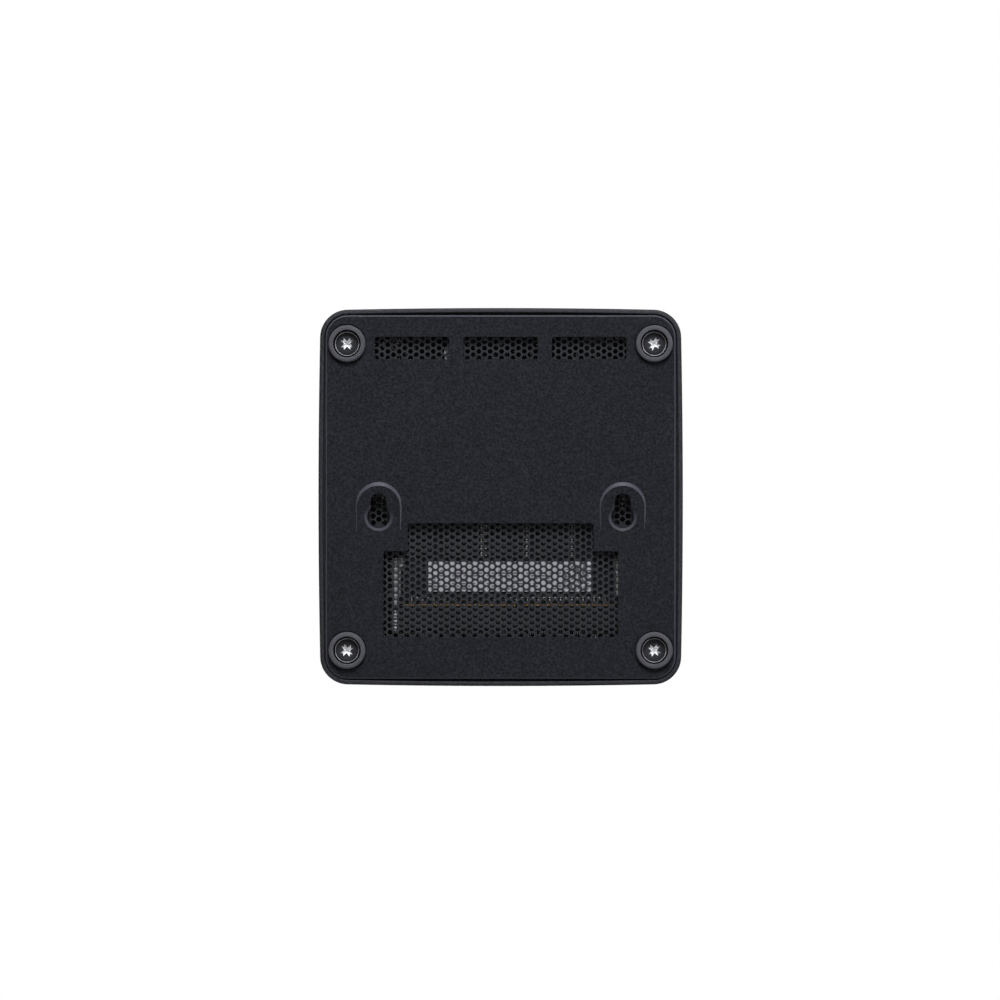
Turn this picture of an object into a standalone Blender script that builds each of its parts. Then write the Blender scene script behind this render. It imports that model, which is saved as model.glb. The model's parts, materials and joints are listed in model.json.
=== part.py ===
"""A small desktop computer with its feet down: top shell, screwed bottom cover, board, memory, fan and ports.

Units are metres, +Z is up, the front faces -Y, and the feet stand on Z = 0.
"""

import math

import bmesh
import bpy
from mathutils import Matrix

# Clearance that every pair of touching pieces keeps, and how far a cutter runs past the face that it opens.
GAP = 0.0003
CUT_OVER = 0.0010

# Sides of the round pieces: one count for all that nest in each other, so that their flats line up.
FOOT_SIDES = 28
SHANK_SIDES = 14

# Body.
BODY_WIDTH = 0.1120
BODY_DEPTH = 0.1162
BODY_HEIGHT = 0.0420
SIDE_CROWN = 0.0005
OUTER_CORNER = 0.0086
WALL = 0.0021
ROOF = 0.0022
RIM_BAND = 0.0014
RIM_ROUND = 0.0008
TOP_ROUND = 0.0030
RIM_RECESS = 0.0004
REBATE_DEPTH = 0.0026

# Bottom cover.
COVER_THICKNESS = 0.0020
COVER_CORNER = 0.0068
COVER_CHAMFER = 0.0004
PARTING_GAP = 0.00085
SCREW_INSET_X = 0.0088
SCREW_INSET_Y = 0.0110

# Feet and the screws in them.
FOOT_WALL = 0.0015
FOOT_PROUD = 0.0016
FOOT_SUNK = 0.0008
FOOT_EDGE = 0.0003
FOOT_SHOULDER = 0.0006
HEAD_RADIUS = 0.00375
HEAD_CLEARANCE = 0.00045
HEAD_HEIGHT = 0.0018
HEAD_RECESS = 0.0009
SHANK_RADIUS = 0.0015
CROSS_RADIUS = 0.0019
CROSS_WIDTH = 0.0009
CROSS_DEPTH = 0.0012
BOSS_WALL = 0.0010
BOSS_HEIGHT = 0.0035
SCREW_TRAVEL = 0.0032
THREAD_ENGAGED = 0.0030
RETAINER_WALL = 0.0009
RETAINER_THICKNESS = 0.0006
INSERT_WALL = 0.0008
POST_WALL = 0.0012

# Vents in the cover.
SMALL_VENT_WIDTH = 0.0229
SMALL_VENT_DEPTH = 0.0069
SMALL_VENT_PITCH = 0.0272
SMALL_VENT_INSET = 0.0123
VENT_CORNER = 0.0009
MAIN_VENT_NARROW = 0.0571
MAIN_VENT_WIDE = 0.0721
MAIN_VENT_TOP = -0.0080
MAIN_VENT_STEP = -0.0166
MAIN_VENT_BOTTOM = -0.0430
LINER_THICKNESS = 0.0005
LINER_LAP = 0.0022

# Keyholes on the 75 mm square of a screen's wall-mount holes.
KEYHOLE_SPACING = 0.0750
KEYHOLE_Y = -0.0061
KEYHOLE_RADIUS = 0.0044
KEYHOLE_CHAMFER = 0.0009
SLOT_WIDTH = 0.0049
SLOT_REACH = 0.0073
PAD_WIDTH = 0.0149
PAD_RISE = 0.0009
PAD_ABOVE = 0.0112
PAD_BELOW = 0.0075
PAD_FLANK = 0.0016
PAD_BOW = 0.45
PAD_DIP = 0.0002
CUP_DEPTH = 0.0022
CUP_WALL = 0.0005
CUP_MARGIN = 0.0012

# Mainboard and what hangs under it.
BOARD_OVER_MEMORY = 0.0044
BOARD_THICKNESS = 0.0016
BOARD_MARGIN = 0.0018
BOARD_SCREW_RADIUS = 0.0022
BOARD_SCREW_HEAD = 0.0014
BOARD_SHANK_RADIUS = 0.0010
BOARD_SHANK_GRIP = 0.0035
BOARD_SCREW_INSET = 0.0100
BOARD_SCREW_FRONT = -0.0320
BOARD_SCREW_REAR = 0.0280
STANDOFF_RADIUS = 0.0026
MEMORY_X = -0.0023
MEMORY_WIDTH = 0.0676
MEMORY_DEPTH = 0.0300
MEMORY_EDGE_Y = -0.0372
MEMORY_THICKNESS = 0.0010
SOCKET_DEPTH = 0.0066
SOCKET_MARGIN = 0.0026
SOCKET_CHIN = 0.0012
SOCKET_GRIP = 0.0030
LATCH_WIDTH = 0.0012
LATCH_LENGTH = 0.0150
HOOK_HEIGHT = 0.0005
HOOK_REACH = 0.0016
HOOK_LENGTH = 0.0030
HOOK_INSET = 0.0001
CHIP_COUNT = 4
CHIP_WIDTH = 0.0102
CHIP_DEPTH = 0.0105
CHIP_PITCH = 0.0139
CHIP_SHIFT = 0.0070
CHIP_HEIGHT = 0.0009
CHIP_FROM_EDGE = 0.0243
LABEL_X = -0.0028
LABEL_FROM_EDGE = 0.0127
LABEL_WIDTH = 0.0502
LABEL_DEPTH = 0.0092
LABEL_THICKNESS = 0.0002
SSD_WIDTH = 0.0220
SSD_LENGTH = 0.0420
SSD_X = 0.0150
SSD_Y = 0.0020
SSD_DROP = 0.0032
CARD_THICKNESS = 0.0008
CARD_SOCKET_DEPTH = 0.0050
CARD_SCREW_HEAD = 0.0026
CARD_SCREW_SHANK = 0.0010
WIFI_X = -0.0310
WIFI_Y = 0.0060
WIFI_LENGTH = 0.0300
WIFI_HEIGHT = 0.0024
COIN_X = -0.0080
COIN_Y = 0.0250
COIN_RADIUS = 0.0100
COIN_HEIGHT = 0.0032

# Cooling.
PACKAGE_WIDTH = 0.0280
PACKAGE_DEPTH = 0.0260
PACKAGE_HEIGHT = 0.0018
COOLER_Y = 0.0020
HEATSINK_WIDTH = 0.0560
HEATSINK_DEPTH = 0.0480
HEATSINK_BASE = 0.0025
INTAKE_ROOM = 0.0050
FIN_COUNT = 13
FIN_THICKNESS = 0.0010
LEG_RADIUS = 0.0025
BLOWER_WIDTH = 0.0640
BLOWER_HEIGHT = 0.0100
BLOWER_WALL = 0.0012
ROTOR_RADIUS = 0.0250
ROTOR_CLEARANCE = 0.0015
HUB_RADIUS = 0.0120
BLADE_COUNT = 17
BLADE_THICKNESS = 0.0009
BLADE_SWEEP = -14.0
STUB_RADIUS = 0.0030
STUB_HEIGHT = 0.0045

# Louvres in the shell.
LOUVRE_WIDTH = 0.0024
LOUVRE_PITCH = 0.0052
REAR_LOUVRES = 13
REAR_LOUVRE_DROP = 0.0023
REAR_LOUVRE_HEIGHT = 0.0050
SIDE_LOUVRES = 13
SIDE_LOUVRE_RISE = 0.0026
SIDE_LOUVRE_HEIGHT = 0.0100

# Ports and the front controls.
PORT_RECESS = 0.0007
PORT_CLEARANCE = 0.00035
PORT_SHELL = 0.0007
BUTTON_RADIUS = 0.0050
BUTTON_TRAVEL = 0.0006
BUTTON_X = 0.0360
BUTTON_EDGE = 0.0002
BUTTON_FLANGE = 0.0009
LIGHT_X = 0.0255
LIGHT_RADIUS = 0.0008
LIGHT_LENGTH = 0.0080
STEM_RADIUS = 0.0015
STEM_LENGTH = 0.0025
SWITCH_WIDTH = 0.0060
SWITCH_DEPTH = 0.0035

# Each port: its place along the wall, the wall it opens in, its shell's size, how far it stands above
# the board's parts level, and its tongue's width, thickness and offset from the middle.
PORTS = (
    dict(name="usb_front_left", kind="box", x=-0.0330, end=-1, width=0.0145, height=0.0070, depth=0.0140,
         lift=0.0, tongue=(0.0110, 0.0019, 0.0012)),
    dict(name="usb_front_right", kind="box", x=-0.0130, end=-1, width=0.0145, height=0.0070, depth=0.0140,
         lift=0.0, tongue=(0.0110, 0.0019, 0.0012)),
    dict(name="usb_c_front", kind="box", x=0.0025, end=-1, width=0.0090, height=0.0034, depth=0.0090,
         lift=0.0018, tongue=(0.0062, 0.0007, 0.0)),
    dict(name="audio_jack", kind="round", x=0.0155, end=-1, width=0.0070, height=0.0060, depth=0.0120,
         lift=0.0006, tongue=None),
    dict(name="dc_jack", kind="round", x=-0.0370, end=1, width=0.0090, height=0.0090, depth=0.0120,
         lift=0.0, tongue=(0.0020, 0.0020, 0.0)),
    dict(name="hdmi_left", kind="box", x=-0.0230, end=1, width=0.0150, height=0.0058, depth=0.0110,
         lift=0.0, tongue=(0.0110, 0.0012, 0.0)),
    dict(name="hdmi_right", kind="box", x=-0.0055, end=1, width=0.0150, height=0.0058, depth=0.0110,
         lift=0.0, tongue=(0.0110, 0.0012, 0.0)),
    dict(name="lan_jack", kind="box", x=0.0130, end=1, width=0.0160, height=0.0135, depth=0.0190,
         lift=0.0, tongue=None),
    dict(name="usb_rear_lower", kind="box", x=0.0325, end=1, width=0.0145, height=0.0068, depth=0.0150,
         lift=0.0, tongue=(0.0110, 0.0019, 0.0012)),
    dict(name="usb_rear_upper", kind="box", x=0.0325, end=1, width=0.0145, height=0.0068, depth=0.0150,
         lift=0.0078, tongue=(0.0110, 0.0019, 0.0012)),
)

# Levels, radii and half sizes that follow from the sizes above.
COVER_LOW = FOOT_PROUD
COVER_TOP = COVER_LOW + COVER_THICKNESS
RIM_Z = COVER_LOW + RIM_RECESS
REBATE_Z = RIM_Z + REBATE_DEPTH
CEILING_Z = BODY_HEIGHT - ROOF
HALF_X = BODY_WIDTH / 2
HALF_Y = BODY_DEPTH / 2
COVER_HALF_X = HALF_X - RIM_BAND - PARTING_GAP
COVER_HALF_Y = HALF_Y - RIM_BAND - PARTING_GAP
SCREW_X = HALF_X - SCREW_INSET_X
SCREW_Y = HALF_Y - SCREW_INSET_Y
FOOT_BORE = HEAD_RADIUS + HEAD_CLEARANCE
FOOT_RADIUS = FOOT_BORE + FOOT_WALL
BOSS_RADIUS = FOOT_BORE + BOSS_WALL
SHANK_BORE = SHANK_RADIUS + GAP
RETAINER_RADIUS = SHANK_BORE + RETAINER_WALL
INSERT_RADIUS = SHANK_BORE + INSERT_WALL
POST_RADIUS = INSERT_RADIUS + GAP + POST_WALL
HEAD_Z = COVER_LOW + HEAD_RECESS
BOSS_TOP = COVER_TOP + BOSS_HEIGHT
RETAINER_Z = BOSS_TOP + SCREW_TRAVEL + GAP
POST_Z = RETAINER_Z + RETAINER_THICKNESS + GAP
SHANK_TOP = POST_Z + THREAD_ENGAGED
INSERT_TOP = SHANK_TOP + GAP
LINER_Z = COVER_TOP + GAP
CUP_TOP = COVER_TOP + CUP_DEPTH
MEMORY_Z = CUP_TOP + CUP_WALL + GAP
BOARD_Z = MEMORY_Z + BOARD_OVER_MEMORY
SOCKET_LOW = MEMORY_Z - SOCKET_CHIN
SSD_Z = BOARD_Z - SSD_DROP
BOARD_TOP = BOARD_Z + BOARD_THICKNESS
PART_FLOOR = BOARD_TOP + GAP
BOARD_SCREW_TOP = BOARD_TOP + BOARD_SHANK_GRIP
CONTROL_Z = PART_FLOOR + BUTTON_RADIUS + BUTTON_FLANGE + 2 * GAP
SMALL_VENT_Y = HALF_Y - SMALL_VENT_INSET
PACKAGE_TOP = PART_FLOOR + PACKAGE_HEIGHT
HEATSINK_Z = PACKAGE_TOP + GAP
BLOWER_Z = CEILING_Z - INTAKE_ROOM - BLOWER_HEIGHT
FIN_TOP = BLOWER_Z - GAP
REAR_LOUVRE_HIGH = CEILING_Z - REAR_LOUVRE_DROP
REAR_LOUVRE_LOW = REAR_LOUVRE_HIGH - REAR_LOUVRE_HEIGHT
SIDE_LOUVRE_LOW = PART_FLOOR + SIDE_LOUVRE_RISE
SIDE_LOUVRE_HIGH = SIDE_LOUVRE_LOW + SIDE_LOUVRE_HEIGHT
CHIP_Y = MEMORY_EDGE_Y + CHIP_FROM_EDGE
LABEL_Y = MEMORY_EDGE_Y + LABEL_FROM_EDGE
CROSS_TURNS = (38.0, 52.0, 31.0, 44.0)
CORNERS = (
    ("front_left", -1, -1),
    ("front_right", 1, -1),
    ("rear_left", -1, 1),
    ("rear_right", 1, 1),
)


def material(name, color, roughness, metallic=0.0):
    """A Principled material, made once for each name."""
    found = bpy.data.materials.get(name)
    if found:
        return found
    made = bpy.data.materials.new(name)
    made.use_nodes = True
    shader = made.node_tree.nodes["Principled BSDF"]
    shader.inputs["Base Color"].default_value = (*color, 1.0)
    shader.inputs["Roughness"].default_value = roughness
    shader.inputs["Metallic"].default_value = metallic
    return made


def charcoal_plastic():
    return material("charcoal_plastic", (0.022, 0.023, 0.028), 0.55)


def rubber():
    return material("rubber", (0.045, 0.045, 0.050), 0.80)


def black_steel():
    return material("black_steel", (0.020, 0.020, 0.022), 0.40, 0.6)


def bright_metal():
    return material("bright_metal", (0.62, 0.62, 0.62), 0.28, 1.0)


def brass():
    return material("brass", (0.60, 0.45, 0.20), 0.35, 1.0)


def circuit_board():
    return material("circuit_board", (0.010, 0.030, 0.022), 0.45)


def black_plastic():
    return material("black_plastic", (0.015, 0.015, 0.016), 0.45)


def label_paper():
    return material("label_paper", (0.70, 0.70, 0.68), 0.60)


def clear_plastic():
    return material("clear_plastic", (0.75, 0.80, 0.85), 0.20)


def add_object(name, shape, look):
    """An object that holds the shape, with its normals turned outwards and soft shading on round faces."""
    bmesh.ops.recalc_face_normals(shape, faces=shape.faces)
    mesh = bpy.data.meshes.new(name)
    shape.to_mesh(mesh)
    shape.free()
    mesh.shade_smooth()
    mesh.set_sharp_from_angle(angle=math.radians(35))
    if look:
        mesh.materials.append(look)
    made = bpy.data.objects.new(name, mesh)
    bpy.context.scene.collection.objects.link(made)
    return made


def add_rings(shape, rings):
    """A closed skin over a stack of point rings that all have the same count, capped at both ends."""
    levels = [[shape.verts.new(point) for point in ring] for ring in rings]
    count = len(levels[0])
    for low, high in zip(levels, levels[1:]):
        for i in range(count):
            j = (i + 1) % count
            shape.faces.new((low[i], low[j], high[j], high[i]))
    shape.faces.new(reversed(levels[0]))
    shape.faces.new(levels[-1])


def add_prism(shape, outline, low, high):
    """An outline in X and Y carried from one level to another."""
    add_rings(shape, [[(x, y, z) for x, y in outline] for z in (low, high)])


def add_box(shape, low, high):
    outline = ((low[0], low[1]), (high[0], low[1]), (high[0], high[1]), (low[0], high[1]))
    add_prism(shape, outline, low[2], high[2])


def circle(centre, radius, steps, turn=0.0):
    """Points round a circle, anticlockwise."""
    angles = [turn + 2 * math.pi * i / steps for i in range(steps)]
    return [(centre[0] + radius * math.cos(a), centre[1] + radius * math.sin(a)) for a in angles]


def add_barrel(shape, centre, radius, low, high, steps=16):
    add_prism(shape, circle(centre, radius, steps), low, high)


def add_turned(shape, centre, profile, steps):
    """A solid of revolution about Z: the profile gives a radius at each level."""
    add_rings(shape, [[(x, y, z) for x, y in circle(centre, radius, steps)] for radius, z in profile])


def add_turned_ring(shape, centre, profile, steps):
    """A ring about Z: the profile is a closed loop of radius and level, so it has no end caps."""
    count = len(profile)
    levels = []
    for radius, z in profile:
        levels.append([shape.verts.new((x, y, z)) for x, y in circle(centre, radius, steps)])
    for k in range(count):
        low, high = levels[k], levels[(k + 1) % count]
        for i in range(steps):
            j = (i + 1) % steps
            shape.faces.new((low[i], low[j], high[j], high[i]))


def tube_profile(inner, outer, low, high):
    return ((inner, low), (outer, low), (outer, high), (inner, high))


def rounded_outline(half_x, half_y, corner, crown=0.0, arc_steps=6, side_steps=8):
    """A rectangle with round corners whose sides bow outwards by the crown, anticlockwise.

    Each side is a parabola: nothing at its ends and the whole crown at its middle.
    """
    points = []
    near_x, near_y = half_x - crown, half_y - crown
    for quarter in range(4):
        sign_x = 1 if quarter in (0, 3) else -1
        sign_y = 1 if quarter in (0, 1) else -1
        centre = (sign_x * (near_x - corner), sign_y * (near_y - corner))
        for step in range(arc_steps + 1):
            angle = math.pi / 2 * (quarter + step / arc_steps)
            points.append((centre[0] + corner * math.cos(angle), centre[1] + corner * math.sin(angle)))
        if crown == 0.0:
            continue
        for step in range(1, side_steps):
            along = 1 - 2 * step / side_steps
            bow = crown * (1 - along * along)
            if quarter == 0:
                points.append((along * (near_x - corner), near_y + bow))
            elif quarter == 1:
                points.append((-near_x - bow, along * (near_y - corner)))
            elif quarter == 2:
                points.append((-along * (near_x - corner), -near_y - bow))
            else:
                points.append((near_x + bow, -along * (near_y - corner)))
    return points


def rectangle_outline(centre, half_x, half_y, corner, arc_steps=3):
    outline = rounded_outline(half_x, half_y, corner, 0.0, arc_steps)
    return [(centre[0] + x, centre[1] + y) for x, y in outline]


def body_ring(inset, z):
    """The body's crowned outline, drawn in by the inset, at one level."""
    outline = rounded_outline(HALF_X - inset, HALF_Y - inset, OUTER_CORNER - inset, SIDE_CROWN)
    return [(x, y, z) for x, y in outline]


def boolean(target, other, operation):
    """A live EXACT Boolean with a hidden helper."""
    other.hide_render = True
    other.display_type = "WIRE"
    change = target.modifiers.new(operation.lower(), "BOOLEAN")
    change.operation = operation
    change.solver = "EXACT"
    change.object = other


def cut(target, shape):
    boolean(target, add_object(target.name + "_cutter", shape, None), "DIFFERENCE")


def join(target, shape):
    boolean(target, add_object(target.name + "_addition", shape, None), "UNION")


def place_at(made, origin):
    """Moves an object's origin to a point, and leaves its shape where it is."""
    made.data.transform(Matrix.Translation([-value for value in origin]))
    made.location = origin
    return made


def shell_outer_rings():
    rings = []
    for step in range(4):
        angle = math.pi / 2 * step / 3
        inset = RIM_ROUND * (1 - math.sin(angle))
        rings.append(body_ring(inset, RIM_Z + RIM_ROUND * (1 - math.cos(angle))))
    for step in range(6):
        angle = math.pi / 2 * step / 5
        inset = TOP_ROUND * (1 - math.cos(angle))
        rings.append(body_ring(inset, BODY_HEIGHT - TOP_ROUND * (1 - math.sin(angle))))
    return rings


def shell_posts():
    """Four corner posts that take the inserts, and the standoffs that the board hangs from."""
    shape = bmesh.new()
    for _, side, end in CORNERS:
        add_barrel(shape, (side * SCREW_X, end * SCREW_Y), POST_RADIUS, POST_Z, CEILING_Z + ROOF / 2)
    for x, y in board_screw_places():
        add_barrel(shape, (x, y), STANDOFF_RADIUS, BOARD_TOP + GAP, CEILING_Z + ROOF / 2, 10)
    return shape


def shell_bores():
    """Blind holes up the posts for the inserts, and up the standoffs for the board's screws."""
    shape = bmesh.new()
    for _, side, end in CORNERS:
        centre = (side * SCREW_X, end * SCREW_Y)
        add_barrel(shape, centre, INSERT_RADIUS + GAP, POST_Z - CUT_OVER, INSERT_TOP + 2 * GAP, SHANK_SIDES)
    for place in board_screw_places():
        low, high = BOARD_TOP - CUT_OVER, BOARD_SCREW_TOP + GAP
        add_barrel(shape, place, BOARD_SHANK_RADIUS + GAP, low, high, 10)
    return shape


def board_screw_places():
    x = HALF_X - BOARD_SCREW_INSET
    return [(side * x, y) for side in (-1, 1) for y in (BOARD_SCREW_FRONT, BOARD_SCREW_REAR)]


def shell_openings():
    """Port and button openings, the rear outlet and the side intakes, all through the walls."""
    shape = bmesh.new()
    for port in PORTS:
        half = port["width"] / 2 + PORT_CLEARANCE
        low, high = port_levels(port)
        outside = port["end"] * (HALF_Y + WALL)
        inside = port["end"] * (HALF_Y - 2 * WALL)
        add_box(
            shape,
            (port["x"] - half, min(outside, inside), low - PORT_CLEARANCE),
            (port["x"] + half, max(outside, inside), high + PORT_CLEARANCE),
        )
    half = LOUVRE_WIDTH / 2
    for index in range(REAR_LOUVRES):
        middle = (index - (REAR_LOUVRES - 1) / 2) * LOUVRE_PITCH
        low, high = HALF_Y - 2 * WALL, HALF_Y + WALL
        add_box(shape, (middle - half, low, REAR_LOUVRE_LOW), (middle + half, high, REAR_LOUVRE_HIGH))
    for side in (-1, 1):
        low, high = sorted((side * (HALF_X + WALL), side * (HALF_X - 2 * WALL)))
        for index in range(SIDE_LOUVRES):
            middle = (index - (SIDE_LOUVRES - 1) / 2) * LOUVRE_PITCH
            add_box(shape, (low, middle - half, SIDE_LOUVRE_LOW), (high, middle + half, SIDE_LOUVRE_HIGH))
    return shape


def add_turned_along_y(shape, x, z, profile, steps):
    """A round bar along Y: the profile gives a radius at each place along it."""
    rings = []
    for radius, y in profile:
        rings.append([(x + dx, y, z + dz) for dx, dz in circle((0, 0), radius, steps)])
    add_rings(shape, rings)


def front_openings():
    """The round holes for the power button and the light pipe."""
    shape = bmesh.new()
    near, far = -HALF_Y - WALL, -HALF_Y + 2 * WALL
    for x, radius, steps in ((BUTTON_X, BUTTON_RADIUS, 24), (LIGHT_X, LIGHT_RADIUS, 10)):
        hole = radius + GAP
        add_turned_along_y(shape, x, CONTROL_Z, ((hole, near), (hole, far)), steps)
    return shape


def make_top_shell():
    inner = [
        body_ring(WALL, CEILING_Z),
        body_ring(WALL, REBATE_Z),
        body_ring(RIM_BAND, REBATE_Z),
        body_ring(RIM_BAND, RIM_Z),
    ]
    shape = bmesh.new()
    add_rings(shape, inner + shell_outer_rings())
    shell = add_object("top_shell", shape, charcoal_plastic())
    join(shell, shell_posts())
    cut(shell, shell_bores())
    cut(shell, shell_openings())
    cut(shell, front_openings())


def cover_plate():
    """A flat plate with straight sides and a chamfer round its outer face."""
    shape = bmesh.new()
    rings = []
    for inset, z in ((COVER_CHAMFER, COVER_LOW), (0.0, COVER_LOW + COVER_CHAMFER), (0.0, COVER_TOP)):
        outline = rounded_outline(COVER_HALF_X - inset, COVER_HALF_Y - inset, COVER_CORNER - inset)
        rings.append([(x, y, z) for x, y in outline])
    add_rings(shape, rings)
    return add_object("bottom_cover", shape, charcoal_plastic())


def half_circle(radius, steps):
    """Points from +X over +Y to -X about the origin."""
    angles = [math.pi * step / steps for step in range(steps + 1)]
    return [(radius * math.cos(angle), radius * math.sin(angle)) for angle in angles]


def pad_outline(inset_side, inset_top):
    """A keyhole pad: a half circle over a straight-sided part that a flatter bow closes."""
    half = PAD_WIDTH / 2 - inset_side
    upper = PAD_ABOVE - inset_top - half
    lower = PAD_BELOW - half * PAD_BOW
    points = [(x, upper + y) for x, y in half_circle(half, 12)]
    return points + [(-x, -lower - y * PAD_BOW) for x, y in half_circle(half, 6)]


def add_pad(shape, x):
    """A pad that stands proud at the slot's end and sinks into the plate past the large end."""
    buried = COVER_LOW + COVER_THICKNESS / 2
    level = COVER_LOW + PAD_DIP
    foot = [(x + px, KEYHOLE_Y + py, buried) for px, py in pad_outline(0, 0)]
    edge = [(x + px, KEYHOLE_Y + py, level + PAD_DIP) for px, py in pad_outline(0, 0)]
    face = []
    for px, py in pad_outline(PAD_FLANK / 2, PAD_FLANK):
        share = (py + PAD_BELOW) / (PAD_ABOVE + PAD_BELOW - PAD_FLANK)
        face.append((x + px, KEYHOLE_Y + py, level - (PAD_RISE + PAD_DIP) * share))
    add_rings(shape, [face, edge, foot])


def keyhole_places():
    return [side * KEYHOLE_SPACING / 2 for side in (-1, 1)]


def keyhole_entries():
    """The round entries, each a short funnel that a screw's head goes in through."""
    shape = bmesh.new()
    throat = KEYHOLE_RADIUS - KEYHOLE_CHAMFER
    funnel = (
        (KEYHOLE_RADIUS, COVER_LOW - PAD_RISE - CUT_OVER),
        (KEYHOLE_RADIUS, COVER_LOW),
        (throat, COVER_LOW + KEYHOLE_CHAMFER),
        (throat, COVER_TOP + CUT_OVER),
    )
    for x in keyhole_places():
        add_turned(shape, (x, KEYHOLE_Y), funnel, 24)
    return shape


def keyhole_slots():
    """The narrow slots that run from the entries towards the rear."""
    shape = bmesh.new()
    half = SLOT_WIDTH / 2
    end = KEYHOLE_Y + SLOT_REACH - half
    for x in keyhole_places():
        slot = [(x - half, KEYHOLE_Y), (x + half, KEYHOLE_Y)]
        slot += [(x + dx, end + dy) for dx, dy in half_circle(half, 8)]
        add_prism(shape, slot, COVER_LOW - PAD_RISE - CUT_OVER, COVER_TOP + CUT_OVER)
    return shape


def main_vent_outline(grow=0.0):
    """The stepped vent: a narrow part over a wider part, with cut corners."""
    narrow = MAIN_VENT_NARROW / 2 + grow
    wide = MAIN_VENT_WIDE / 2 + grow
    low, step, top = MAIN_VENT_BOTTOM - grow, MAIN_VENT_STEP + grow, MAIN_VENT_TOP + grow
    nick = VENT_CORNER * 0.6
    right = [(wide - nick, low), (wide, low + nick), (wide, step - nick), (wide - nick, step)]
    right += [(narrow, step), (narrow, top - nick), (narrow - nick, top)]
    return right + [(-x, y) for x, y in reversed(right)]


def cover_openings():
    shape = bmesh.new()
    below, above = COVER_LOW - 0.001, COVER_TOP + 0.001
    for index in (-1, 0, 1):
        outline = rectangle_outline(
            (index * SMALL_VENT_PITCH, SMALL_VENT_Y), SMALL_VENT_WIDTH / 2, SMALL_VENT_DEPTH / 2, VENT_CORNER
        )
        add_prism(shape, outline, below, above)
    add_prism(shape, main_vent_outline(), below, above)
    return shape


def foot_seats():
    """A ring seat for each foot, the hole for the screw's head and the hole for its shank."""
    shape = bmesh.new()
    for _, side, end in CORNERS:
        centre = (side * SCREW_X, end * SCREW_Y)
        profile = (
            (FOOT_RADIUS + GAP, COVER_LOW - 0.001),
            (FOOT_RADIUS + GAP, COVER_LOW + FOOT_SUNK + GAP),
            (FOOT_BORE, COVER_LOW + FOOT_SUNK + GAP),
            (FOOT_BORE, HEAD_Z + HEAD_HEIGHT + GAP),
            (SHANK_BORE, HEAD_Z + HEAD_HEIGHT + GAP),
            (SHANK_BORE, BOSS_TOP + 0.001),
        )
        add_turned(shape, centre, profile, FOOT_SIDES)
    return shape


def make_bottom_cover():
    cover = cover_plate()
    bosses = bmesh.new()
    for _, side, end in CORNERS:
        centre = (side * SCREW_X, end * SCREW_Y)
        add_barrel(bosses, centre, BOSS_RADIUS, COVER_LOW + COVER_THICKNESS / 2, BOSS_TOP, 20)
    for x in keyhole_places():
        add_pad(bosses, x)
    join(cover, bosses)
    cut(cover, keyhole_entries())
    cut(cover, keyhole_slots())
    cut(cover, cover_openings())
    cut(cover, foot_seats())


def make_feet_and_screws():
    """At each corner: foot, screw with a cross recess, the ring that keeps it captive, and the insert."""
    for index, (place, side, end) in enumerate(CORNERS):
        centre = (side * SCREW_X, end * SCREW_Y)
        axis = (*centre, 0.0)
        foot = bmesh.new()
        seat = COVER_LOW + FOOT_SUNK
        profile = (
            (FOOT_BORE, seat),
            (FOOT_BORE, FOOT_EDGE),
            (FOOT_BORE + FOOT_EDGE, 0.0),
            (FOOT_RADIUS - FOOT_SHOULDER, 0.0),
            (FOOT_RADIUS - FOOT_EDGE / 2, FOOT_EDGE),
            (FOOT_RADIUS, FOOT_SHOULDER),
            (FOOT_RADIUS, seat),
        )
        add_turned_ring(foot, centre, profile, FOOT_SIDES)
        add_object(f"foot_{place}", foot, rubber())
        place_at(make_cover_screw(place, centre, CROSS_TURNS[index]), axis)
        ring = bmesh.new()
        levels = (RETAINER_Z, RETAINER_Z + RETAINER_THICKNESS)
        add_turned_ring(ring, centre, tube_profile(SHANK_BORE, RETAINER_RADIUS, *levels), SHANK_SIDES)
        place_at(add_object(f"screw_retainer_{place}", ring, black_steel()), axis)
        insert = bmesh.new()
        profile = tube_profile(SHANK_BORE, INSERT_RADIUS, POST_Z, INSERT_TOP)
        add_turned_ring(insert, centre, profile, SHANK_SIDES)
        add_object(f"threaded_insert_{place}", insert, brass())


def make_cover_screw(place, centre, turn):
    """A pan-headed screw whose recess is a plus sign sunk into the head."""
    shape = bmesh.new()
    edge = HEAD_HEIGHT / 5
    profile = (
        (HEAD_RADIUS - edge, HEAD_Z),
        (HEAD_RADIUS, HEAD_Z + edge),
        (HEAD_RADIUS, HEAD_Z + HEAD_HEIGHT),
        (SHANK_RADIUS, HEAD_Z + HEAD_HEIGHT),
        (SHANK_RADIUS, SHANK_TOP),
    )
    add_turned(shape, centre, profile, FOOT_SIDES)
    screw = add_object(f"cover_screw_{place}", shape, black_steel())
    cross = bmesh.new()
    outline = []
    for arm in range(4):
        angle = math.radians(turn) + math.pi / 2 * arm
        for along, across in ((CROSS_RADIUS, -1), (CROSS_RADIUS, 1), (CROSS_WIDTH / 2, 1)):
            x = along * math.cos(angle) - across * CROSS_WIDTH / 2 * math.sin(angle)
            y = along * math.sin(angle) + across * CROSS_WIDTH / 2 * math.cos(angle)
            outline.append((centre[0] + x, centre[1] + y))
    add_prism(cross, outline, HEAD_Z - CUT_OVER, HEAD_Z + CROSS_DEPTH)
    cut(screw, cross)
    # The recess follows the screw when its origin moves onto the axis.
    cutter = screw.modifiers[0].object
    place_at(cutter, (*centre, 0.0))
    return screw


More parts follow.
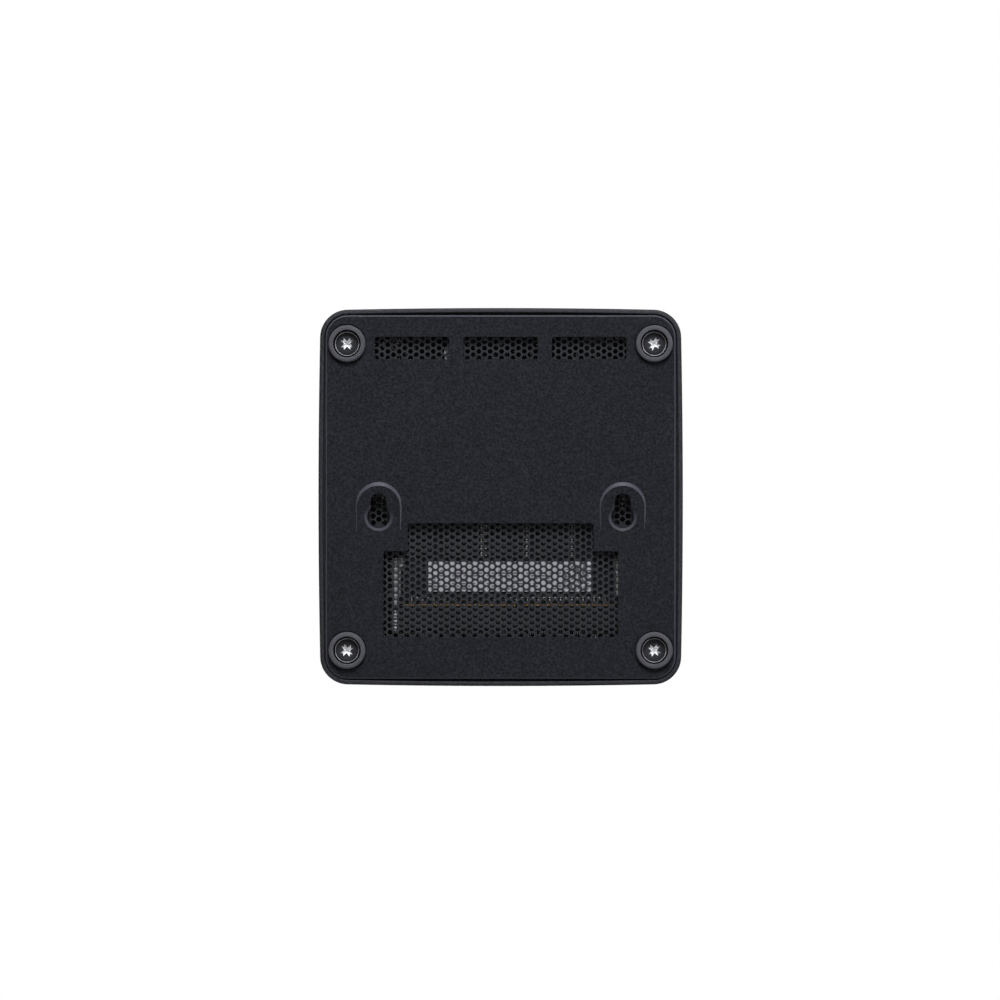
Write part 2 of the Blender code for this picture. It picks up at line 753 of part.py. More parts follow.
def make_vent_meshes():
    """Thin sheets that back the vents, without their perforation."""
    main = bmesh.new()
    add_prism(main, main_vent_outline(LINER_LAP), LINER_Z, LINER_Z + LINER_THICKNESS)
    add_object("main_vent_mesh", main, black_steel())
    rear = bmesh.new()
    half_x = SMALL_VENT_PITCH + SMALL_VENT_WIDTH / 2 + LINER_LAP
    half_y = SMALL_VENT_DEPTH / 2 + LINER_LAP
    outline = rectangle_outline((0.0, SMALL_VENT_Y), half_x, half_y, VENT_CORNER)
    add_prism(rear, outline, LINER_Z, LINER_Z + LINER_THICKNESS)
    add_object("rear_vent_mesh", rear, black_steel())


def make_keyhole_cups():
    """A pressed pan behind each keyhole, deep enough for a screw's head."""
    half_x = KEYHOLE_RADIUS + CUP_MARGIN
    low, high = KEYHOLE_Y - half_x, KEYHOLE_Y + SLOT_REACH + CUP_MARGIN
    for side, x in zip(("left", "right"), keyhole_places()):
        rings = []
        for inset, z in ((CUP_WALL, CUP_TOP), (CUP_WALL, LINER_Z), (0.0, LINER_Z), (0.0, CUP_TOP + CUP_WALL)):
            corner = half_x / 2 - inset
            outline = rectangle_outline((x, (low + high) / 2), half_x - inset, (high - low) / 2 - inset, corner)
            rings.append([(px, py, z) for px, py in outline])
        shape = bmesh.new()
        add_rings(shape, rings)
        add_object(f"keyhole_cup_{side}", shape, black_steel())


def make_mainboard():
    """A board with a notch at each corner for the shell's posts, and the holes that its screws pass."""
    half_x = HALF_X - WALL - BOARD_MARGIN
    half_y = HALF_Y - WALL - BOARD_MARGIN
    notch_x = SCREW_X - POST_RADIUS - 2 * GAP
    notch_y = SCREW_Y - POST_RADIUS - 2 * GAP
    quarter = ((half_x, notch_y), (notch_x, notch_y), (notch_x, half_y))
    outline = list(quarter)
    outline += [(-x, y) for x, y in reversed(quarter)]
    outline += [(-x, -y) for x, y in quarter]
    outline += [(x, -y) for x, y in reversed(quarter)]
    shape = bmesh.new()
    add_prism(shape, outline, BOARD_Z, BOARD_TOP)
    board = add_object("mainboard", shape, circuit_board())
    holes = bmesh.new()
    for place in board_screw_places():
        add_barrel(holes, place, BOARD_SHANK_RADIUS + GAP, BOARD_Z - CUT_OVER, BOARD_TOP + CUT_OVER, 10)
    cut(board, holes)
    head_top = BOARD_Z - GAP
    for index, place in enumerate(board_screw_places()):
        screw = bmesh.new()
        profile = (
            (BOARD_SCREW_RADIUS, head_top - BOARD_SCREW_HEAD),
            (BOARD_SCREW_RADIUS, head_top),
            (BOARD_SHANK_RADIUS, head_top),
            (BOARD_SHANK_RADIUS, BOARD_SCREW_TOP),
        )
        add_turned(screw, place, profile, 10)
        add_object(f"board_screw_{index + 1}", screw, bright_metal())


def simple_box(name, low, high, look):
    shape = bmesh.new()
    add_box(shape, low, high)
    return add_object(name, shape, look)


def make_memory():
    """The socket, its two latches, and the module with chips and a label on its lower face."""
    half = MEMORY_WIDTH / 2
    front = MEMORY_EDGE_Y + SOCKET_GRIP
    socket = simple_box(
        "memory_socket",
        (MEMORY_X - half - SOCKET_MARGIN, front - SOCKET_DEPTH, SOCKET_LOW),
        (MEMORY_X + half + SOCKET_MARGIN, front, BOARD_Z - GAP),
        black_plastic(),
    )
    slot = bmesh.new()
    add_box(
        slot,
        (MEMORY_X - half - GAP, MEMORY_EDGE_Y - GAP, MEMORY_Z - GAP),
        (MEMORY_X + half + GAP, front + CUT_OVER, MEMORY_Z + MEMORY_THICKNESS + GAP),
    )
    cut(socket, slot)
    simple_box(
        "memory_module",
        (MEMORY_X - half, MEMORY_EDGE_Y, MEMORY_Z),
        (MEMORY_X + half, MEMORY_EDGE_Y + MEMORY_DEPTH, MEMORY_Z + MEMORY_THICKNESS),
        circuit_board(),
    )
    face = MEMORY_Z - GAP
    for index in range(CHIP_COUNT):
        middle = MEMORY_X + CHIP_SHIFT + (index - (CHIP_COUNT - 1) / 2) * CHIP_PITCH
        simple_box(
            f"memory_chip_{index + 1}",
            (middle - CHIP_WIDTH / 2, CHIP_Y - CHIP_DEPTH / 2, face - CHIP_HEIGHT),
            (middle + CHIP_WIDTH / 2, CHIP_Y + CHIP_DEPTH / 2, face),
            black_plastic(),
        )
    simple_box(
        "memory_label",
        (LABEL_X - LABEL_WIDTH / 2, LABEL_Y - LABEL_DEPTH / 2, face - LABEL_THICKNESS),
        (LABEL_X + LABEL_WIDTH / 2, LABEL_Y + LABEL_DEPTH / 2, face),
        label_paper(),
    )
    for name, side in (("left", -1), ("right", 1)):
        make_latch(name, side, front + 2 * GAP)


def make_latch(name, side, root_y):
    """A sprung arm along the module's end, with a hook under the module's lower face."""
    inner = MEMORY_X + side * (MEMORY_WIDTH / 2 + GAP)
    outer = inner + side * LATCH_WIDTH
    tip = root_y + LATCH_LENGTH
    low, high = MEMORY_Z - GAP - HOOK_HEIGHT, MEMORY_Z + MEMORY_THICKNESS
    ends = sorted((inner, outer))
    latch = simple_box(f"memory_latch_{name}", (ends[0], root_y, low), (ends[1], tip, high), bright_metal())
    hook = bmesh.new()
    ends = sorted((inner - side * (GAP + HOOK_REACH), (inner + outer) / 2))
    near, far = tip - HOOK_LENGTH, tip - HOOK_INSET
    add_box(hook, (ends[0], near, low + HOOK_INSET), (ends[1], far, low + HOOK_HEIGHT))
    join(latch, hook)
    addition = latch.modifiers[0].object
    axis = ((inner + outer) / 2, root_y, 0.0)
    place_at(addition, axis)
    place_at(latch, axis)


def make_cards():
    """The solid-state drive, the radio card and the clock's cell under the board."""
    under = BOARD_Z - GAP
    half = SSD_WIDTH / 2
    simple_box(
        "ssd_connector",
        (SSD_X - half, SSD_Y - CARD_SOCKET_DEPTH, SSD_Z),
        (SSD_X + half, SSD_Y - GAP, under),
        black_plastic(),
    )
    card = simple_box(
        "ssd_card", (SSD_X - half, SSD_Y, SSD_Z), (SSD_X + half, SSD_Y + SSD_LENGTH, SSD_Z + CARD_THICKNESS),
        circuit_board(),
    )
    screw_y = SSD_Y + SSD_LENGTH
    notch = bmesh.new()
    add_barrel(notch, (SSD_X, screw_y), CARD_SCREW_SHANK + GAP, SSD_Z - CUT_OVER, SSD_Z + 2 * CUT_OVER, 12)
    cut(card, notch)
    simple_box(
        "ssd_chip",
        (SSD_X - half + 2 * CUT_OVER, SSD_Y + 0.006, SSD_Z - GAP - CHIP_HEIGHT),
        (SSD_X + half - 2 * CUT_OVER, SSD_Y + SSD_LENGTH - 0.006, SSD_Z - GAP),
        black_plastic(),
    )
    screw = bmesh.new()
    profile = (
        (CARD_SCREW_HEAD, SSD_Z - GAP - CHIP_HEIGHT),
        (CARD_SCREW_HEAD, SSD_Z - GAP),
        (CARD_SCREW_SHANK, SSD_Z - GAP),
        (CARD_SCREW_SHANK, under),
    )
    add_turned(screw, (SSD_X, screw_y), profile, 12)
    add_object("ssd_screw", screw, bright_metal())
    simple_box(
        "wifi_card",
        (WIFI_X - half, WIFI_Y, under - WIFI_HEIGHT),
        (WIFI_X + half, WIFI_Y + WIFI_LENGTH, under),
        circuit_board(),
    )
    cell = bmesh.new()
    add_barrel(cell, (COIN_X, COIN_Y), COIN_RADIUS, under - COIN_HEIGHT, under, 24)
    add_object("clock_cell", cell, bright_metal())


def make_heatsink():
    """A finned block on legs over the processor."""
    half_x, half_y = HEATSINK_WIDTH / 2, HEATSINK_DEPTH / 2
    base_top = HEATSINK_Z + HEATSINK_BASE
    sink = simple_box(
        "heatsink",
        (-half_x, COOLER_Y - half_y, HEATSINK_Z),
        (half_x, COOLER_Y + half_y, base_top),
        material("aluminium", (0.55, 0.56, 0.58), 0.4, 1.0),
    )
    extra = bmesh.new()
    pitch = (HEATSINK_WIDTH - FIN_THICKNESS) / (FIN_COUNT - 1)
    for index in range(FIN_COUNT):
        left = -half_x + index * pitch
        add_box(
            extra,
            (left, COOLER_Y - half_y, base_top - HEATSINK_BASE / 2),
            (left + FIN_THICKNESS, COOLER_Y + half_y, FIN_TOP),
        )
    for side in (-1, 1):
        for end in (-1, 1):
            place = (side * (half_x - LEG_RADIUS), COOLER_Y + end * (half_y - LEG_RADIUS))
            add_barrel(extra, place, LEG_RADIUS, PART_FLOOR, HEATSINK_Z + HEATSINK_BASE / 4, 8)
    join(sink, extra)


def make_blower():
    """A housing with a round intake in its roof and an outlet to the rear, and the rotor inside it."""
    half = BLOWER_WIDTH / 2
    top = BLOWER_Z + BLOWER_HEIGHT
    floor = BLOWER_Z + BLOWER_WALL
    centre = (0.0, COOLER_Y)
    shape = bmesh.new()
    add_prism(shape, rectangle_outline(centre, half, half, half / 4), BLOWER_Z, top)
    housing = add_object("blower_housing", shape, black_plastic())
    chamber = bmesh.new()
    add_barrel(chamber, centre, ROTOR_RADIUS + ROTOR_CLEARANCE, floor, top - BLOWER_WALL, 32)
    cut(housing, chamber)
    outlet = bmesh.new()
    reach = ROTOR_RADIUS
    add_box(outlet, (-reach, COOLER_Y, floor), (reach, COOLER_Y + half + CUT_OVER, top - BLOWER_WALL))
    cut(housing, outlet)
    intake = bmesh.new()
    add_barrel(intake, centre, ROTOR_RADIUS * 0.8, top - 2 * BLOWER_WALL, top + CUT_OVER, 32)
    cut(housing, intake)
    stub = bmesh.new()
    add_barrel(stub, centre, STUB_RADIUS, floor - BLOWER_WALL / 2, floor + STUB_HEIGHT, 12)
    join(housing, stub)
    make_rotor(centre, floor + GAP * 2, top - BLOWER_WALL - GAP * 2, floor + STUB_HEIGHT)


def make_rotor(centre, low, high, stub_top):
    """A hub with thin blades swept back against the turn, made as one toothed outline."""
    outline = []
    for blade in range(BLADE_COUNT):
        root = 2 * math.pi * blade / BLADE_COUNT
        tip = root + math.radians(BLADE_SWEEP)
        for radius, middle, edge in ((HUB_RADIUS, root, -1), (ROTOR_RADIUS, tip, -1), (ROTOR_RADIUS, tip, 1),
                                     (HUB_RADIUS, root, 1)):
            angle = middle + edge * BLADE_THICKNESS / 2 / radius
            outline.append((centre[0] + radius * math.cos(angle), centre[1] + radius * math.sin(angle)))
    shape = bmesh.new()
    add_prism(shape, outline, low, high)
    rotor = add_object("fan_rotor", shape, black_plastic())
    bore = bmesh.new()
    add_barrel(bore, centre, STUB_RADIUS + GAP, low - CUT_OVER, stub_top + GAP, 12)
    cut(rotor, bore)
    axis = (*centre, 0.0)
    place_at(rotor.modifiers[0].object, axis)
    place_at(rotor, axis)


def make_processor():
    half_x, half_y = PACKAGE_WIDTH / 2, PACKAGE_DEPTH / 2
    simple_box(
        "processor",
        (-half_x, COOLER_Y - half_y, PART_FLOOR),
        (half_x, COOLER_Y + half_y, PACKAGE_TOP),
        bright_metal(),
    )


def port_levels(port):
    low = PART_FLOOR + port["lift"]
    return low, low + port["height"]


def make_port(port):
    """A metal-shelled socket: a hollow box with a tongue, a block of contacts or a pin in it."""
    end = port["end"]
    low, high = port_levels(port)
    face = end * (HALF_Y - PORT_RECESS)
    back = face - end * port["depth"]
    half = port["width"] / 2
    ys = sorted((face, back))
    look = bright_metal() if port["kind"] != "round" else black_plastic()
    body = simple_box(port["name"], (port["x"] - half, ys[0], low), (port["x"] + half, ys[1], high), look)
    hollow = bmesh.new()
    middle = (low + high) / 2
    mouth = face + end * CUT_OVER
    floor = back + end * port["depth"] / 4
    if port["kind"] == "round":
        radius = port["height"] / 2 - PORT_SHELL
        profile = ((radius, min(mouth, floor)), (radius, max(mouth, floor)))
        add_turned_along_y(hollow, port["x"], middle, profile, 16)
    else:
        ys = sorted((mouth, floor))
        add_box(
            hollow,
            (port["x"] - half + PORT_SHELL, ys[0], low + PORT_SHELL),
            (port["x"] + half - PORT_SHELL, ys[1], high - PORT_SHELL),
        )
    cut(body, hollow)
    if port["tongue"] is None:
        return
    width, thickness, offset = port["tongue"]
    tongue = bmesh.new()
    ys = sorted((face - end * 2 * PORT_SHELL, floor - end * PORT_SHELL))
    add_box(
        tongue,
        (port["x"] - width / 2, ys[0], middle + offset - thickness / 2),
        (port["x"] + width / 2, ys[1], middle + offset + thickness / 2),
    )
    join(body, tongue)


def make_front_controls():
    """The power button with its flange and stem, the switch behind it, and the light pipe."""
    wall_in = -HALF_Y + WALL + SIDE_CROWN + GAP
    face = -HALF_Y
    stem_end = wall_in + BUTTON_FLANGE + STEM_LENGTH
    profile = (
        (BUTTON_RADIUS - BUTTON_EDGE, face),
        (BUTTON_RADIUS, face + BUTTON_EDGE),
        (BUTTON_RADIUS, wall_in),
        (BUTTON_RADIUS + BUTTON_FLANGE, wall_in),
        (BUTTON_RADIUS + BUTTON_FLANGE, wall_in + BUTTON_FLANGE),
        (STEM_RADIUS, wall_in + BUTTON_FLANGE),
        (STEM_RADIUS, stem_end),
    )
    button = bmesh.new()
    add_turned_along_y(button, BUTTON_X, CONTROL_Z, profile, 24)
    place_at(add_object("power_button", button, black_plastic()), (BUTTON_X, face, CONTROL_Z))
    switch_y = stem_end + BUTTON_TRAVEL + GAP
    half = SWITCH_WIDTH / 2
    simple_box(
        "button_switch",
        (BUTTON_X - half, switch_y, PART_FLOOR),
        (BUTTON_X + half, switch_y + SWITCH_DEPTH, CONTROL_Z + half),
        black_plastic(),
    )
    pipe = bmesh.new()
    pipe_end = -HALF_Y + LIGHT_LENGTH
    ends = ((LIGHT_RADIUS, -HALF_Y + SIDE_CROWN), (LIGHT_RADIUS, pipe_end))
    add_turned_along_y(pipe, LIGHT_X, CONTROL_Z, ends, 10)
    light = add_object("light_pipe", pipe, clear_plastic())
    foot = bmesh.new()
    add_box(
        foot,
        (LIGHT_X - LIGHT_RADIUS, pipe_end - 2 * LIGHT_RADIUS, PART_FLOOR),
        (LIGHT_X + LIGHT_RADIUS, pipe_end + LIGHT_RADIUS, CONTROL_Z),
    )
    join(light, foot)


def main():
    for obj in list(bpy.data.objects):
        bpy.data.objects.remove(obj, do_unlink=True)
    make_top_shell()
    make_bottom_cover()
    make_feet_and_screws()
    make_vent_meshes()
    make_keyhole_cups()
    make_mainboard()
    make_memory()
    make_cards()
    make_processor()
    make_heatsink()
    make_blower()
    for port in PORTS:
        make_port(port)
    make_front_controls()


main()
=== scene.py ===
"""A small square desktop computer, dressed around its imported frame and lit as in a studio.

Everything is in metres in the frame's own axes: feet on Z = 0, front towards -Y, rear sockets towards +Y.
The camera stands under the computer and looks up at its bottom cover, with the rear edge at the top.
"""

from __future__ import annotations

import json
import logging
import math
import sys
from dataclasses import dataclass, field
from enum import Enum
from functools import cached_property
from typing import Callable, Sequence

import bpy
import numpy as np
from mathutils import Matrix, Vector
from mathutils.geometry import delaunay_2d_cdt

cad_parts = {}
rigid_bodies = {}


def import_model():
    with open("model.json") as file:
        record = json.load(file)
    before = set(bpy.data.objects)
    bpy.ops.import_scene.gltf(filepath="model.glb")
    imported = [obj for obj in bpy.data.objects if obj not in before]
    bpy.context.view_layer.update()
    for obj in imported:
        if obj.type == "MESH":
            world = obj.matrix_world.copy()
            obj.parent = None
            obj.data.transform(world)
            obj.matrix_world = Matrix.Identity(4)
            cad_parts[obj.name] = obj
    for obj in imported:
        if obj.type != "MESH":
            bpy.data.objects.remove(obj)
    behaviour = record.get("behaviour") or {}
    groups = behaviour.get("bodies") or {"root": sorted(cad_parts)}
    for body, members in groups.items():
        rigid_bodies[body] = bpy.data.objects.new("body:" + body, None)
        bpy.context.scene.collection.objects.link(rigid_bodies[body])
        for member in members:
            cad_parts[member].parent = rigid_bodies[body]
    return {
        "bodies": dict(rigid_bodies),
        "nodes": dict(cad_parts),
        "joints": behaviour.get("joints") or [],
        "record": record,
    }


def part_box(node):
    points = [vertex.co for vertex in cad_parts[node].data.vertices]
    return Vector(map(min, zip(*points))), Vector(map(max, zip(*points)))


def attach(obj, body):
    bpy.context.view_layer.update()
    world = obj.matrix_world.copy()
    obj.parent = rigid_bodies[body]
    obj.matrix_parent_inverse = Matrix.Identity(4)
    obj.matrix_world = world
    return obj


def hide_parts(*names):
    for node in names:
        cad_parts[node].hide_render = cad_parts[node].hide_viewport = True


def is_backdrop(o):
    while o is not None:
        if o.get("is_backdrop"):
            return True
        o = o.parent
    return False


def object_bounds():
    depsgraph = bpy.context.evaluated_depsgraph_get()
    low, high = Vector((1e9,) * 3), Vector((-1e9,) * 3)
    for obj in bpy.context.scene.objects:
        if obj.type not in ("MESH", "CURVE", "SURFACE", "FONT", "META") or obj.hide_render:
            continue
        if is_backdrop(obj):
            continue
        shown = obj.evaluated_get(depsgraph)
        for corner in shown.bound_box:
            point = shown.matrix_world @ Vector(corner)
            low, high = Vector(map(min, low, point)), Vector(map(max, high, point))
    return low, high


Array = np.ndarray
Colour = tuple[float, float, float]
Pair = tuple[float, float]
Triple = tuple[float, float, float]

LOG = logging.getLogger("mini_computer")
MM = 0.001
TURN = 2.0 * math.pi
QUARTER = math.pi / 2
MEETING_MM = 1e-6  # the triangulation takes points closer than this for one
CORNERS: dict[str, Pair] = {
    "front_left": (-1, -1),
    "front_right": (1, -1),
    "rear_left": (-1, 1),
    "rear_right": (1, 1),
}


class Axis(Enum):
    """The direction that a profile is carried along.

    Each value is the order in which across, up and along become x, y and z.
    """

    X = (2, 0, 1)
    Y = (1, 2, 0)
    Z = (0, 1, 2)


# ------------------------------------------------------------
# Outlines and surfaces
# ------------------------------------------------------------


def crowned_outline(
    half: Pair, corner: float, crown: float = 0.0, arc: int = 12, side: int = 1, centre: Pair = (0.0, 0.0)
) -> Array:
    """A rectangle with quarter-circle corners and bowed sides, anticlockwise.

    A corner point is its centre plus corner times (cos a, sin a). A side point at share s from -1 to 1 stands
    crown times (1 - s squared) outside the straight side.

    Args:
        half: Half sizes over everything.
        corner: Corner radius.
        crown: How far each side bows out at its middle.
        arc: Steps in each corner.
        side: Steps along each side.
        centre: Where the middle lies.

    Returns:
        Points, one row each.
    """
    angle = np.linspace(0.0, QUARTER, arc + 1)
    share = np.linspace(1.0, -1.0, side + 1)[1:-1]
    parts = []
    for quarter in range(4):
        near_x, near_y = (half[quarter % 2] - crown, half[1 - quarter % 2] - crown)
        bend = np.stack(
            [near_x - corner + corner * np.cos(angle), near_y - corner + corner * np.sin(angle)], 1
        )
        edge = np.stack([share * (near_x - corner), near_y + crown * (1 - share**2)], 1)
        piece = np.concatenate([bend, edge])
        cos, sin = ((1, 0), (0, 1), (-1, 0), (0, -1))[quarter]
        parts.append(
            np.stack([piece[:, 0] * cos - piece[:, 1] * sin, piece[:, 0] * sin + piece[:, 1] * cos], 1)
        )
    return np.concatenate(parts) + np.array(centre)


def ring(radius: float, steps: int, centre: Pair = (0.0, 0.0), turn: float = 0.0) -> Array:
    """Points of a circle, radius times (cos a, sin a) about the centre, anticlockwise."""
    angle = np.arange(steps) * TURN / steps + turn
    return np.stack([np.cos(angle), np.sin(angle)], 1) * radius + np.array(centre)


def lift(outline: Array, height: float | Array) -> Array:
    """The outline as points in space at one height, or at a height for each point."""
    return np.column_stack([outline, np.broadcast_to(height, len(outline))])


class Shape:
    """Points and faces gathered for one piece, as whole arrays."""

    def __init__(self) -> None:
        """Starts with nothing in it."""
        self.points: list[Array] = []
        self.faces: list[tuple[Array, int]] = []
        self.count = 0

    def add(self, points: Array, faces: Sequence[Array], slot: int = 0) -> None:
        """Adds points and the faces between them.

        Args:
            points: One row for each point.
            faces: Arrays of point numbers, one row for each face and one array for each number of sides.
            slot: The material slot that the faces take.
        """
        points = np.asarray(points, float).reshape(-1, 3)
        self.points.append(points)
        self.faces += [(np.atleast_2d(np.asarray(f, np.int64)) + self.count, slot) for f in faces if len(f)]
        self.count += len(points)

    def loft(
        self, rings: Sequence[Array], slot: int = 0, slots: Sequence[int] | None = None,
        caps: bool = True, ends: tuple[int, int] | None = None
    ) -> None:
        """Joins rings of equally many points into a skin.

        Point j of ring i meets points j and j + 1 of ring i + 1.

        Args:
            rings: The rings, from the bottom up when they run anticlockwise.
            slot: The material slot of the skin.
            slots: A material slot for each band, where they differ.
            caps: True closes both ends with a flat face. False joins the last ring to the first.
            ends: The slots of the two flat faces, where they differ from the bands beside them.
        """
        grid = np.stack([np.asarray(r, float) for r in rings])
        count, across = grid.shape[:2]
        number = np.arange(count * across).reshape(count, across)
        low = number if not caps else number[:-1]
        high = np.roll(number, -1, 0) if not caps else number[1:]
        bands = np.stack([low, np.roll(low, -1, 1), np.roll(high, -1, 1), high], 2)
        start = self.count
        self.add(grid.reshape(-1, 3), [])
        for index, band in enumerate(bands):
            self.faces.append((band + start, slots[index] if slots else slot))
        if caps:
            beside = (slots[0], slots[-1]) if slots else (slot, slot)
            first, last = ends or beside
            self.faces.append((number[0][::-1][None] + start, first))
            self.faces.append((number[-1][None] + start, last))

    def slab(
        self, outline: Callable[[float], Array], low: float, high: float, edge: float, slot: int = 0
    ) -> None:
        """A flat piece with a chamfer round both faces.

        Args:
            outline: Gives the outline drawn in by some distance.
            low: Height of the lower face.
            high: Height of the upper face.
            edge: Size of the chamfer.
            slot: The material slot.
        """
        levels = ((edge, low), (0.0, low + edge), (0.0, high - edge), (edge, high))
        self.loft([lift(outline(inset), z) for inset, z in levels], slot)

    def block(
        self, low: Sequence[float], high: Sequence[float], corner: float, edge: float = 0.0,
        slot: int = 0, axis: Axis = Axis.Z, arc: int = 3
    ) -> None:
        """A box with round corners about one axis and chamfered ends.

        Args:
            low: Lowest corner.
            high: Highest corner.
            corner: Radius of the long edges.
            edge: Chamfer at the two ends, or nothing for a third of the corner.
            slot: The material slot.
            axis: The axis that the round corners stand about.
            arc: Steps in each corner.
        """
        place = axis.value
        order = [place.index(k) for k in range(3)]
        a, b = np.asarray(low, float)[order], np.asarray(high, float)[order]
        centre, half = (a + b)[:2] / 2, (b - a)[:2] / 2

        def outline(inset: float) -> Array:
            """The box's outline drawn in by an inset."""
            return crowned_outline(half - inset, max(corner - inset, corner / 4), 0.0, arc, 1, centre)

        piece = Shape()
        piece.slab(outline, a[2], b[2], edge or corner / 3, slot)
        self.merge(piece, lambda p: p[:, list(place)])

    def turned(
        self, profile: Sequence[Pair], steps: int, centre: Pair = (0.0, 0.0), slot: int = 0,
        slots: Sequence[int] | None = None, caps: bool = True
    ) -> None:
        """Carries a profile of (radius, height) round the Z axis through the centre.

        Args:
            profile: Radius and height at each place, from the bottom up on the outside.
            steps: Sides of each circle.
            centre: Where the axis stands.
            slot: The material slot.
            slots: A material slot for each band.
            caps: True closes the ends, False joins the last ring to the first, as in a ring.
        """
        self.loft([lift(ring(radius, steps, centre), z) for radius, z in profile], slot, slots, caps)

    def flip(self) -> None:
        """Turns every face over."""
        self.faces = [(face[:, ::-1], slot) for face, slot in self.faces]

    def merge(self, other: Shape, change: Callable[[Array], Array] = lambda p: p) -> None:
        """Takes in another shape with its points changed by a function of all of them."""
        if not other.count:
            return
        start = self.count
        points = np.concatenate(other.points)
        self.points.append(change(points))
        self.faces += [(f + start, slot) for f, slot in other.faces]
        self.count += len(points)

    def repeat(self, other: Shape, offsets: Array) -> None:
        """Adds a copy of another shape at each offset."""
        points = np.concatenate(other.points)
        offsets = np.asarray(offsets, float).reshape(-1, 3)
        start = self.count
        self.points.append((points[None] + offsets[:, None]).reshape(-1, 3))
        jumps = np.arange(len(offsets)) * len(points) + start
        for faces, slot in other.faces:
            self.faces.append(((faces[None] + jumps[:, None, None]).reshape(-1, faces.shape[1]), slot))
        self.count += len(points) * len(offsets)

    def mesh(self, name: str) -> bpy.types.Mesh:
        """Puts the arrays into a new mesh."""
        mesh = bpy.data.meshes.new(name)
        corners = np.concatenate([f.reshape(-1) for f, _ in self.faces])
        sizes = np.concatenate([np.full(len(f), f.shape[1]) for f, _ in self.faces])
        slots = np.concatenate([np.full(len(f), slot) for f, slot in self.faces])
        mesh.vertices.add(self.count)
        mesh.vertices.foreach_set("co", np.concatenate(self.points).astype(np.float32).ravel())
        mesh.loops.add(len(corners))
        mesh.loops.foreach_set("vertex_index", corners.astype(np.int32))
        mesh.polygons.add(len(sizes))
        mesh.polygons.foreach_set("loop_start", (np.cumsum(sizes) - sizes).astype(np.int32))
        mesh.polygons.foreach_set("material_index", slots.astype(np.int32))
        mesh.update(calc_edges=True)
        mesh.validate()
        return mesh

    def make(self, name: str, smooth: float = 35.0) -> bpy.types.Object:
        """A new object in the scene, smooth wherever its faces meet at less than an angle in degrees."""
        mesh = self.mesh(name)
        made = bpy.data.objects.new(name, mesh)
        bpy.context.scene.collection.objects.link(made)
        shade(mesh, smooth)
        return made


def shade(mesh: bpy.types.Mesh, degrees: float) -> None:
    """Smooth shading, with a sharp edge wherever two faces meet at more than the angle."""
    mesh.polygons.foreach_set("use_smooth", np.ones(len(mesh.polygons), bool))
    mesh.set_sharp_from_angle(angle=math.radians(degrees))


def settle(made: bpy.types.Object, smooth: float | None = 35.0) -> bpy.types.Object:
    """Turns an object's modifiers into its mesh and shades it again.

    Args:
        made: The object.
        smooth: The angle in degrees past which an edge is sharp, or None to keep the modifiers' own normals.

    Returns:
        The same object, with no modifiers.
    """
    graph = bpy.context.evaluated_depsgraph_get()
    mesh = bpy.data.meshes.new_from_object(made.evaluated_get(graph), depsgraph=graph)
    made.modifiers.clear()
    made.data = mesh
    if smooth is not None:
        shade(mesh, smooth)
    return made


def carve(made: bpy.types.Object, tool: Shape, operation: str) -> bpy.types.Object:
    """Cuts a shape out of an object, or joins it on, and keeps the result as its mesh.

    Args:
        made: The object that changes.
        tool: The other shape.
        operation: DIFFERENCE or UNION.

    Returns:
        The same object.
    """
    other = tool.make(made.name + "_tool")
    for material in made.data.materials:
        other.data.materials.append(material)
    change = made.modifiers.new("carve", "BOOLEAN")
    change.operation = operation
    change.solver = "EXACT"
    change.object = other
    settle(made)
    bpy.data.objects.remove(other)
    return made


def flatten(mesh: bpy.types.Mesh, squareness: float = 0.99999) -> None:
    """Gives the corners of every face that lies square to an axis that face's own normal.

    Args:
        mesh: The mesh.
        squareness: How long a unit normal has to be along one axis.
    """
    faces, corners = len(mesh.polygons), len(mesh.loops)
    normals = np.zeros(faces * 3, np.float32)
    mesh.polygons.foreach_get("normal", normals)
    counts = np.zeros(faces, np.int32)
    mesh.polygons.foreach_get("loop_total", counts)
    current = np.zeros(corners * 3, np.float32)
    mesh.corner_normals.foreach_get("vector", current)
    each = np.repeat(normals.reshape(-1, 3), counts, axis=0)
    square = np.abs(each).max(1, keepdims=True) > squareness
    mesh.normals_split_custom_set(np.where(square, each, current.reshape(-1, 3)))


def soften(
    made: bpy.types.Object, width: float, segments: int = 2, angle: float = 40.0, slot: int = -1
) -> bpy.types.Object:
    """Rounds every edge sharper than an angle, evens the normals and keeps the result.

    Args:
        made: The object.
        width: Width of the rounding.
        segments: Faces across it.
        angle: The angle in degrees past which an edge is rounded.
        slot: Material slot of the rounding, or -1 for that of the faces beside it.

    Returns:
        The same object.
    """
    bevel = made.modifiers.new("soften", "BEVEL")
    bevel.width = width
    bevel.segments = segments
    bevel.limit_method = "ANGLE"
    bevel.angle_limit = math.radians(angle)
    bevel.harden_normals = False
    bevel.use_clamp_overlap = True
    bevel.material = slot
    even = made.modifiers.new("even", "WEIGHTED_NORMAL")
    even.weight = 100
    even.keep_sharp = True
    settle(made, None)
    flatten(made.data)
    return made


